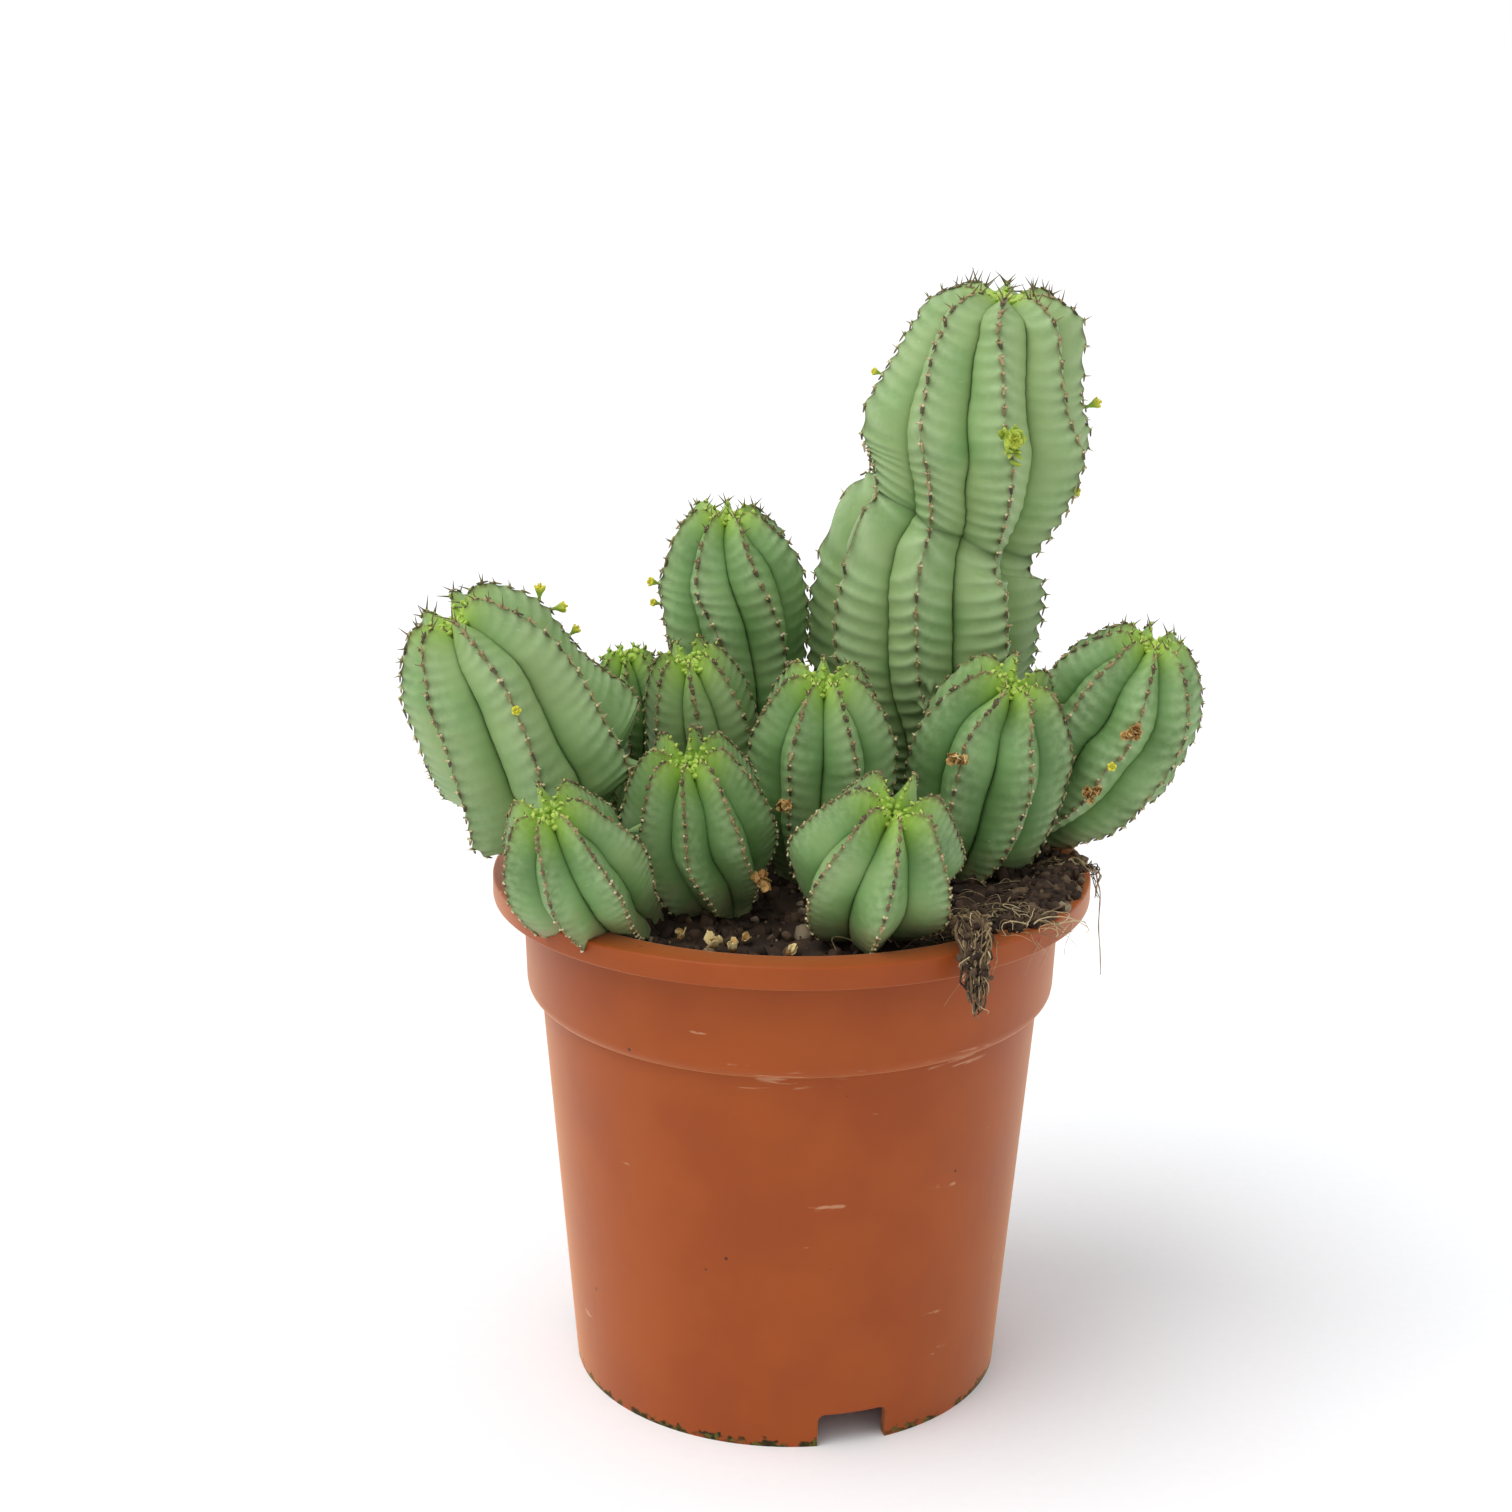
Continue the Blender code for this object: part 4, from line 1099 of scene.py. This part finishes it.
def turned_cup(outline, sides):
    """A small cup with a lobed edge, from (radius, height) pairs."""
    shape = ball(sides, len(outline) + 1)
    last = len(outline) + 1
    for vertex in shape.verts:
        ring = round(math.acos(max(min(-vertex.co.z, 1), -1)) / math.pi * last)
        if 0 < ring < last:
            radius, height = outline[ring - 1]
            angle = math.atan2(vertex.co.y, vertex.co.x)
            radius *= 1 + 0.12 * math.cos(5 * angle) * (height > 0.7)
            vertex.co = (radius * math.cos(angle), radius * math.sin(angle), height)
        else:
            vertex.co = (0, 0, 0 if ring == 0 else outline[-1][1] - 0.25)
    return shape_arrays(shape)


def build_flower(number, skins, material):
    """A cyathium: a stalk, a lobed cup, five nectar glands round its edge and a tuft of stamens."""
    node = f"flower_{number:02d}"
    chance = random.Random(number)
    place, direction, ahead = nearest_cushion(skins, node)
    low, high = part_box(node)
    size = max(high - low) / MM / 1.35
    second = unit(np.cross(direction, ahead))
    frame_axes = axes_matrix(second, np.cross(direction, second), direction, (size, size, size))
    heap = Heap()
    cup = turned_cup(((0.17, 0.05), (0.15, 0.45), (0.3, 0.72), (0.46, 1.0), (0.5, 1.25), (0.36, 1.3)), 20)
    heap.add(cup, frame_axes * MM, place * MM, tip=np.clip(cup[0][:, 2] - 0.6, 0, 0.6))
    gland = shape_arrays(ball(8, 6, (0.21, 0.15, 0.11)))
    ripe = 0.35 if number == LEAFY_CLUSTER else 0.9
    for lobe in range(5):
        angle = 2 * math.pi * lobe / 5 + 0.3
        local = np.array([math.cos(angle) * 0.44, math.sin(angle) * 0.44, 1.3])
        spin = np.array(Matrix.Rotation(angle + math.pi / 2, 3, "Z"))
        heap.add(gland, frame_axes @ spin * MM, (place + frame_axes @ local) * MM, tip=ripe)
    stamen = shape_arrays(ball(6, 5, (0.05, 0.05, 0.26)))
    for _ in range(7):
        local = np.array([chance.uniform(-0.2, 0.2), chance.uniform(-0.2, 0.2), 1.42])
        heap.add(stamen, frame_axes * MM, (place + frame_axes @ local) * MM, tip=ripe)
    bract = leaf_shape()
    for side in (0, math.pi):
        spin = np.array(Matrix.Rotation(side, 3, "Z") @ Matrix.Rotation(0.5, 3, "X"))
        heap.add(bract, frame_axes @ spin * 0.7 * MM, (place + direction * 0.3 * size) * MM, tip=0.1)
    if number == LEAFY_CLUSTER:
        for _ in range(46):
            local = np.array([chance.gauss(0, 0.26), chance.gauss(0, 0.4), chance.uniform(0.0, 1.0)])
            angles = [chance.uniform(-1, 1), chance.uniform(-1, 1), chance.uniform(0, 6)]
            spin = np.array(Euler(angles).to_matrix())
            heap.add(bract, frame_axes @ spin * chance.uniform(0.6, 1.0) * MM,
                     (place + frame_axes @ local) * MM, tip=0.3 * bract[0][:, 2])
    return heap.piece(f"flower_{number:02d}_bloom", material, "flower_yellow", (node,))


def husk_petal(chance):
    """A shrivelled lobe: a narrow strip that curls and crumples, with two sides."""
    shape = bmesh.new()
    bmesh.ops.create_grid(shape, x_segments=4, y_segments=7, size=0.5)
    curl, twist = chance.uniform(0.6, 2.2), chance.uniform(-1.4, 1.4)
    offset = Vector((chance.uniform(0, 50), 0, 0))
    for vertex in shape.verts:
        across, along = vertex.co.x, vertex.co.y + 0.5
        width = 0.55 * (0.35 + math.sin(math.pi * min(along * 0.9 + 0.05, 1)))
        bend, roll = curl * along, twist * along
        x = across * width * math.cos(roll)
        lifted = across * width * math.sin(roll)
        y, z = math.sin(bend) / curl, (1 - math.cos(bend)) / curl
        crumple = Vector((noise.noise(vertex.co * 4 + offset), noise.noise(vertex.co * 4 - offset), 0)) * 0.1
        vertex.co = Vector((x, y - lifted * math.sin(bend), z + lifted * math.cos(bend))) + crumple
    bmesh.ops.solidify(shape, geom=shape.faces, thickness=0.045)
    return shape_arrays(shape)


def add_husk(heap, chance, place, direction, size, lobes, pale=0.0):
    second = unit(np.cross(direction, np.array([0.3, 0.5, 0.8])))
    third = np.cross(direction, second)
    base = axes_matrix(second, third, direction)
    core = crumb_shapes(chance, 1)[0]
    heap.add(core, base * 0.34 * size * MM, place * MM, tone=chance.uniform(0, 0.3))
    for lobe in range(lobes):
        angle = 2 * math.pi * lobe / lobes + chance.uniform(-0.4, 0.4)
        tilt = chance.uniform(0.2, 1.2)
        spin = Matrix.Rotation(angle, 3, "Z") @ Matrix.Rotation(tilt, 3, "X")
        scale = size * chance.uniform(0.6, 1.05)
        heap.add(husk_petal(chance), base @ np.array(spin) * scale * MM, place * MM,
                 tone=pale + chance.uniform(0.1, 0.75))


def build_dried_flower(number, skins, material):
    node = f"dried_flower_{number:02d}"
    chance = random.Random(number + 300)
    place, direction, _ = nearest_cushion(skins, node)
    low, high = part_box(node)
    size = max(high - low) / MM / 1.2
    heap = Heap()
    for _ in range(4):
        aside = np.array([chance.uniform(-0.5, 0.5) for _ in range(3)]) * size
        foot = place + direction * 0.35 * size + aside * 0.5
        add_husk(heap, chance, foot, unit(direction + aside * 0.2), size, 5)
    return heap.piece(f"dried_flower_{number:02d}_husk", material, "dried_flower", (node,))


def build_litter(material):
    """Fallen husks and bits of straw on the soil at the front."""
    chance = random.Random(77)
    heap = Heap()
    for x, y, size in LITTER:
        place = np.array([x, y, soil_height(x, y) + 1.6])
        add_husk(heap, chance, place, unit(np.array([chance.uniform(-0.4, 0.4), -0.3, 1])), size, 6, 0.35)
    return heap.piece("fallen_husks", material, "dried_flower")


# ---------------------------------------------------------------- roots


def smooth_route(points, count):
    """A Catmull-Rom curve through a route's points, read at count places."""
    route = np.array(points, float)
    t = np.linspace(0, len(route) - 1.0001, count)
    index = t.astype(int)
    part = (t - index)[:, None]
    p0, p1, p2, p3 = (route[np.clip(index + k, 0, len(route) - 1)] for k in (-1, 0, 1, 2))
    return 0.5 * (2 * p1 + (p2 - p0) * part + (2 * p0 - 5 * p1 + 4 * p2 - p3) * part**2
                  + (3 * p1 - p0 - 3 * p2 + p3) * part**3)


def tube(points, radii, sides=5):
    """A closed tube through the points, all in mm."""
    points, radii = np.array(points, float), np.array(radii, float)
    along = unit(np.gradient(points, axis=0))
    first = unit(np.cross(along, np.array([0.31, 0.52, 0.79])))
    second = np.cross(along, first)
    angles = 2 * np.pi * np.arange(sides) / sides
    rings = points[:, None] + radii[:, None, None] * (
        first[:, None] * np.cos(angles)[None, :, None] + second[:, None] * np.sin(angles)[None, :, None]
    )
    faces = [list(range(sides))[::-1], list(range((len(points) - 1) * sides, len(points) * sides))]
    for ring in range(len(points) - 1):
        for k in range(sides):
            a, b = ring * sides + k, ring * sides + (k + 1) % sides
            faces.append([a, b, b + sides, a + sides])
    return rings.reshape(-1, 3), faces


def clear_of_pot(place, gap=0.3):
    """Moves a point of a loose fibre off the soil, the rim and the pot's wall."""
    x, y, z = place
    reach = math.hypot(x, y)
    if reach < SOIL_RADIUS:
        return np.array([x, y, max(z, soil_height(x, y) + gap)])
    if reach < RIM_RADIUS + gap and z > RIM_TOP - RIM_BAND / 2:
        return np.array([x, y, max(z, RIM_TOP + gap)])
    if reach < RIM_RADIUS + gap:
        push = (RIM_RADIUS + gap) / reach
        return np.array([x * push, y * push, z])
    return np.array(place)


def strand(heap, route, radius, tone, sides=5):
    route = np.array([clear_of_pot(place) for place in route])
    thin = radius * np.linspace(1, 0.45, len(route)) * (1 + 0.25 * np.sin(np.arange(len(route)) * 1.7))
    heap.add(tube(route * MM, thin * MM, sides), np.eye(3), (0, 0, 0), tone=tone)


def wound_strands(heap, chance, route, count, thick, winding, wander, tones):
    """Strands that wind round a route, each on a path and of a thickness of its own."""
    for number in range(count):
        start, end = chance.uniform(0, 0.35), chance.uniform(0.6, 1)
        path = smooth_route(route, 40)
        span = np.linspace(start, end, 30) * (len(path) - 1)
        here = np.stack([np.interp(span, np.arange(len(path)), path[:, k]) for k in range(4)], axis=1)
        angle, reach = chance.uniform(0, 2 * math.pi), math.sqrt(chance.uniform(0.15, 1))
        turning = chance.uniform(-winding, winding)
        made = []
        for step, (x, y, z, radius) in enumerate(here):
            turn = angle + turning * step / 30
            seeds = (Vector((step / 5, number * 1.7, k * 9.1)) for k in range(3))
            drift = np.array([noise.noise(seed) for seed in seeds]) * wander
            ring = np.array([math.cos(turn), 0.6 * math.sin(turn), 0.7 * math.sin(turn)])
            round_route = ring * reach * radius
            made.append(np.array([x, y, z]) + round_route + drift)
        strand(heap, made, thick * chance.uniform(0.5, 1.4), chance.uniform(*tones))


def loose_strand(heap, chance, x, y, z, steps, radius, tone, arch=2.0, fall=0.0):
    """A fibre that wanders over the soil, arches a little and may hang over the rim."""
    heading, curl, made = chance.uniform(0, 2 * math.pi), chance.uniform(-0.25, 0.25), []
    for step in range(steps):
        heading += curl + chance.uniform(-0.35, 0.35)
        x, y = x + math.cos(heading) * 0.9, y + math.sin(heading) * 0.9
        made.append((x, y, z + arch * math.sin(math.pi * step / steps) - fall * step))
    strand(heap, made, radius, tone, 4)


def build_roots(settings, material, soil):
    chance = random.Random(5)
    clump = Heap()
    wound_strands(clump, chance, ROOT_ROUTES["root_clump"], 70, 0.5, 7, 2.2, (0.0, 0.6))
    wound_strands(clump, chance, ROOT_ROUTES["root_clump"], 30, 0.2, 9, 4.0, (0.3, 1.0))
    clump.piece("root_clump_fibres", material, "root_fibre", ("root_clump",))
    # Peat still held between the roots.
    crumbs, shapes = Heap(), crumb_shapes(chance, 6)
    for _ in range(170):
        x, y, z, radius = smooth_route(ROOT_ROUTES["root_clump"], 60)[chance.randrange(50)]
        aside = np.array([chance.gauss(0, 0.45), chance.gauss(0, 0.45), chance.gauss(0, 0.4)])
        place = np.array([x, y, z]) + aside * radius
        size = chance.uniform(0.4, 1.5)
        crumbs.add(chance.choice(shapes), random_turn(chance) * size * MM, clear_of_pot(place, size * 0.6) * MM,
                   tone=chance.betavariate(2, 3))
    crumbs.piece("root_clump_peat", soil, "dark_soil")
    tangle = Heap()
    for _ in range(48):
        x, y, z, radius = smooth_route(ROOT_ROUTES["root_tangle"], 40)[chance.randrange(40)]
        loose_strand(tangle, chance, x + chance.gauss(0, 3.5), y + chance.gauss(0, 3.5), z - 2.5,
                     chance.randint(8, 22), chance.uniform(0.1, 0.24), chance.uniform(0.2, 0.95),
                     chance.uniform(0.5, 3))
    tangle.piece("root_tangle_fibres", material, "root_fibre", ("root_tangle",))
    side = Heap()
    wound_strands(side, chance, ROOT_ROUTES["side_root"], 2, 0.24, 2, 0.7, (0.2, 0.7))
    wound_strands(side, chance, ROOT_ROUTES["side_root"][:6], 9, 0.3, 6, 3.2, (0.0, 0.8))
    side.piece("side_root_fibres", material, "root_fibre", ("side_root",))
    strays = Heap()
    for _ in range(settings.stray_fibres):
        angle, radius = chance.triangular(-1.4, 0.4, -0.7), chance.uniform(52, 80)
        loose_strand(strays, chance, radius * math.cos(angle), radius * math.sin(angle), RIM_TOP - 1,
                     chance.randint(6, 16), chance.uniform(0.07, 0.15), chance.uniform(0.3, 1.0))
    for _ in range(9):
        angle = chance.uniform(-0.95, -0.5)
        loose_strand(strays, chance, 82 * math.cos(angle), 82 * math.sin(angle), RIM_TOP,
                     chance.randint(10, 20), 0.1, chance.uniform(0.5, 1.0), 1.0, 0.7)
    strays.piece("stray_root_fibres", material, "root_fibre")


# ---------------------------------------------------------------- settings


class EuphorbiaColours(bpy.types.PropertyGroup):
    pot_dark: StringProperty(name="Pot, dark", description="Darker tone of the pot", default="#934318")
    pot_light: StringProperty(name="Pot, light", description="Lighter tone of the pot", default="#9D4B1A")
    skin: StringProperty(name="Skin", description="Stem skin without its bloom", default="#759A5C")
    skin_dark: StringProperty(name="Skin, shaded", description="Darker patches of skin", default="#5F834A")
    skin_warm: StringProperty(name="Skin, warm", description="Older, yellower skin", default="#8DA66C")
    bloom: StringProperty(name="Bloom", description="The grey coat of wax", default="#9DB684")
    groove: StringProperty(name="Groove", description="Skin in the grooves", default="#37531F")
    tip: StringProperty(name="Tip", description="New growth", default="#A9CC4E")


class EuphorbiaSettings(bpy.types.PropertyGroup):
    pot_steps: IntProperty(name="Pot steps", description="Sides of the turned pot", default=192, min=24)
    skin_step: FloatProperty(
        name="Skin step", description="Spacing of the rows of a stem's skin", default=0.6 * MM, unit="LENGTH"
    )
    rib_columns: IntProperty(name="Rib columns", description="Columns on each side of a rib", default=12, min=4)
    crumbs: IntProperty(name="Crumbs", description="Loose crumbs on the soil", default=1700, min=0)
    stray_fibres: IntProperty(name="Stray fibres", description="Single roots on the soil", default=70, min=0)
    colours: PointerProperty(type=EuphorbiaColours)


SKINS = {}


class EUPHORBIA_OT_pot(bpy.types.Operator):
    """Turn the nursery pot and cut its drain notches"""

    bl_idname = "euphorbia.pot"
    bl_label = "Nursery pot"

    def execute(self, context):
        settings = context.scene.euphorbia
        build_pot(settings, moulded_polypropylene(settings.colours))
        return {"FINISHED"}


class EUPHORBIA_OT_soil(bpy.types.Operator):
    """Fill the pot with soil and strew crumbs of bark on it"""

    bl_idname = "euphorbia.soil"
    bl_label = "Potting soil"

    def execute(self, context):
        settings = context.scene.euphorbia
        material = peat_and_bark()
        build_soil(material)
        build_crumbs(settings, material)
        return {"FINISHED"}


class EUPHORBIA_OT_stems(bpy.types.Operator):
    """Grow the ribbed stems"""

    bl_idname = "euphorbia.stems"
    bl_label = "Stems"

    def execute(self, context):
        settings = context.scene.euphorbia
        SKINS.update(build_skins(settings))
        material = waxed_skin(settings.colours)
        for skin in SKINS.values():
            build_stem(skin, material)
        return {"FINISHED"}


class EUPHORBIA_OT_spines(bpy.types.Operator):
    """Grow the spines, their shields and the leaves at the tips"""

    bl_idname = "euphorbia.spines"
    bl_label = "Spines and leaves"

    def execute(self, context):
        build_spines(SKINS, horn())
        build_leaves(SKINS, young_leaf())
        return {"FINISHED"}


class EUPHORBIA_OT_flowers(bpy.types.Operator):
    """Grow the fresh flowers, the dried ones and the litter on the soil"""

    bl_idname = "euphorbia.flowers"
    bl_label = "Flowers"

    def execute(self, context):
        fresh, dried = fresh_cyathium(), dried_husk()
        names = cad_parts
        for number in range(1, 1 + sum(name.startswith("flower_") for name in names)):
            build_flower(number, SKINS, fresh)
        for number in range(1, 1 + sum(name.startswith("dried_flower_") for name in names)):
            build_dried_flower(number, SKINS, dried)
        build_litter(dried)
        return {"FINISHED"}


class EUPHORBIA_OT_roots(bpy.types.Operator):
    """Lay the bare roots over the rim and on the soil"""

    bl_idname = "euphorbia.roots"
    bl_label = "Bare roots"

    def execute(self, context):
        build_roots(context.scene.euphorbia, root_fibre(), bpy.data.materials["peat_and_bark"])
        return {"FINISHED"}


class EUPHORBIA_OT_stage(bpy.types.Operator):
    """Set the floor, the studio light and the camera"""

    bl_idname = "euphorbia.stage"
    bl_label = "Stage"

    def execute(self, context):
        scene = context.scene
        shape = bmesh.new()
        bmesh.ops.create_grid(shape, x_segments=8, y_segments=8, size=FLOOR_SIZE)
        mesh = bpy.data.meshes.new("floor")
        shape.to_mesh(mesh)
        shape.free()
        mesh.materials.append(studio_paper())
        floor = bpy.data.objects.new("floor", mesh)
        scene.collection.objects.link(floor)
        world = bpy.data.worlds.new("studio")
        world.use_nodes = True
        # White walls up to head height under a slightly dimmer ceiling.
        tree = world.node_tree
        direction = add_node(tree, "TexCoord", output="Generated")
        height = add_node(tree, "SeparateXYZ", (direction,), "Z")
        raised = add_node(tree, "MapRange", (height, WALL_TOP, CEILING), **SMOOTH)
        tint = add_node(tree, "Mix", {0: raised, 6: linear("#FFFFFF"), 7: linear("#E4E6E8")}, **BLEND)
        feed(tree, tree.nodes["Background"], {"Color": tint, "Strength": 1.0})
        scene.world = world
        light = bpy.data.lights.new("overhead_window", "SUN")
        light.angle = WINDOW_SPREAD
        light.energy = WINDOW_POWER
        lamp = bpy.data.objects.new("overhead_window", light)
        lamp.rotation_euler = Vector(WINDOW_DIRECTION).to_track_quat("-Z", "Y").to_euler()
        scene.collection.objects.link(lamp)
        camera_data = bpy.data.cameras.new("camera")
        camera_data.lens = CAMERA_LENS
        camera = bpy.data.objects.new("camera", camera_data)
        tilt = Matrix.Rotation(CAMERA_TILT, 4, "X") @ Matrix.Rotation(CAMERA_ROLL, 4, "Z")
        camera.matrix_world = Matrix.Translation(CAMERA_PLACE) @ tilt
        scene.collection.objects.link(camera)
        scene.camera = camera
        scene.view_settings.view_transform = "Standard"
        return {"FINISHED"}


OPERATORS = (
    EUPHORBIA_OT_stage, EUPHORBIA_OT_pot, EUPHORBIA_OT_soil, EUPHORBIA_OT_stems,
    EUPHORBIA_OT_spines, EUPHORBIA_OT_flowers, EUPHORBIA_OT_roots,
)


class EUPHORBIA_PT_panel(bpy.types.Panel):
    """The plant's settings and the steps that build it"""

    bl_idname = "EUPHORBIA_PT_panel"
    bl_label = "Potted euphorbia"
    bl_space_type = "VIEW_3D"
    bl_region_type = "UI"
    bl_category = "Euphorbia"

    def draw(self, context):
        settings = context.scene.euphorbia
        for name in ("pot_steps", "skin_step", "rib_columns", "crumbs", "stray_fibres"):
            self.layout.prop(settings, name)
        for name in EuphorbiaColours.__annotations__:
            self.layout.prop(settings.colours, name)
        for operator in OPERATORS:
            self.layout.operator(operator.bl_idname)


CLASSES = (EuphorbiaColours, EuphorbiaSettings, *OPERATORS, EUPHORBIA_PT_panel)


def register():
    for item in CLASSES:
        bpy.utils.register_class(item)
    bpy.types.Scene.euphorbia = PointerProperty(type=EuphorbiaSettings)


def unregister():
    del bpy.types.Scene.euphorbia
    for item in reversed(CLASSES):
        bpy.utils.unregister_class(item)


def main():
    register()
    bpy.ops.euphorbia.stage()
    bpy.ops.euphorbia.pot()
    bpy.ops.euphorbia.soil()
    bpy.ops.euphorbia.stems()
    bpy.ops.euphorbia.spines()
    bpy.ops.euphorbia.flowers()
    bpy.ops.euphorbia.roots()


if __name__ == "__main__":
    main()
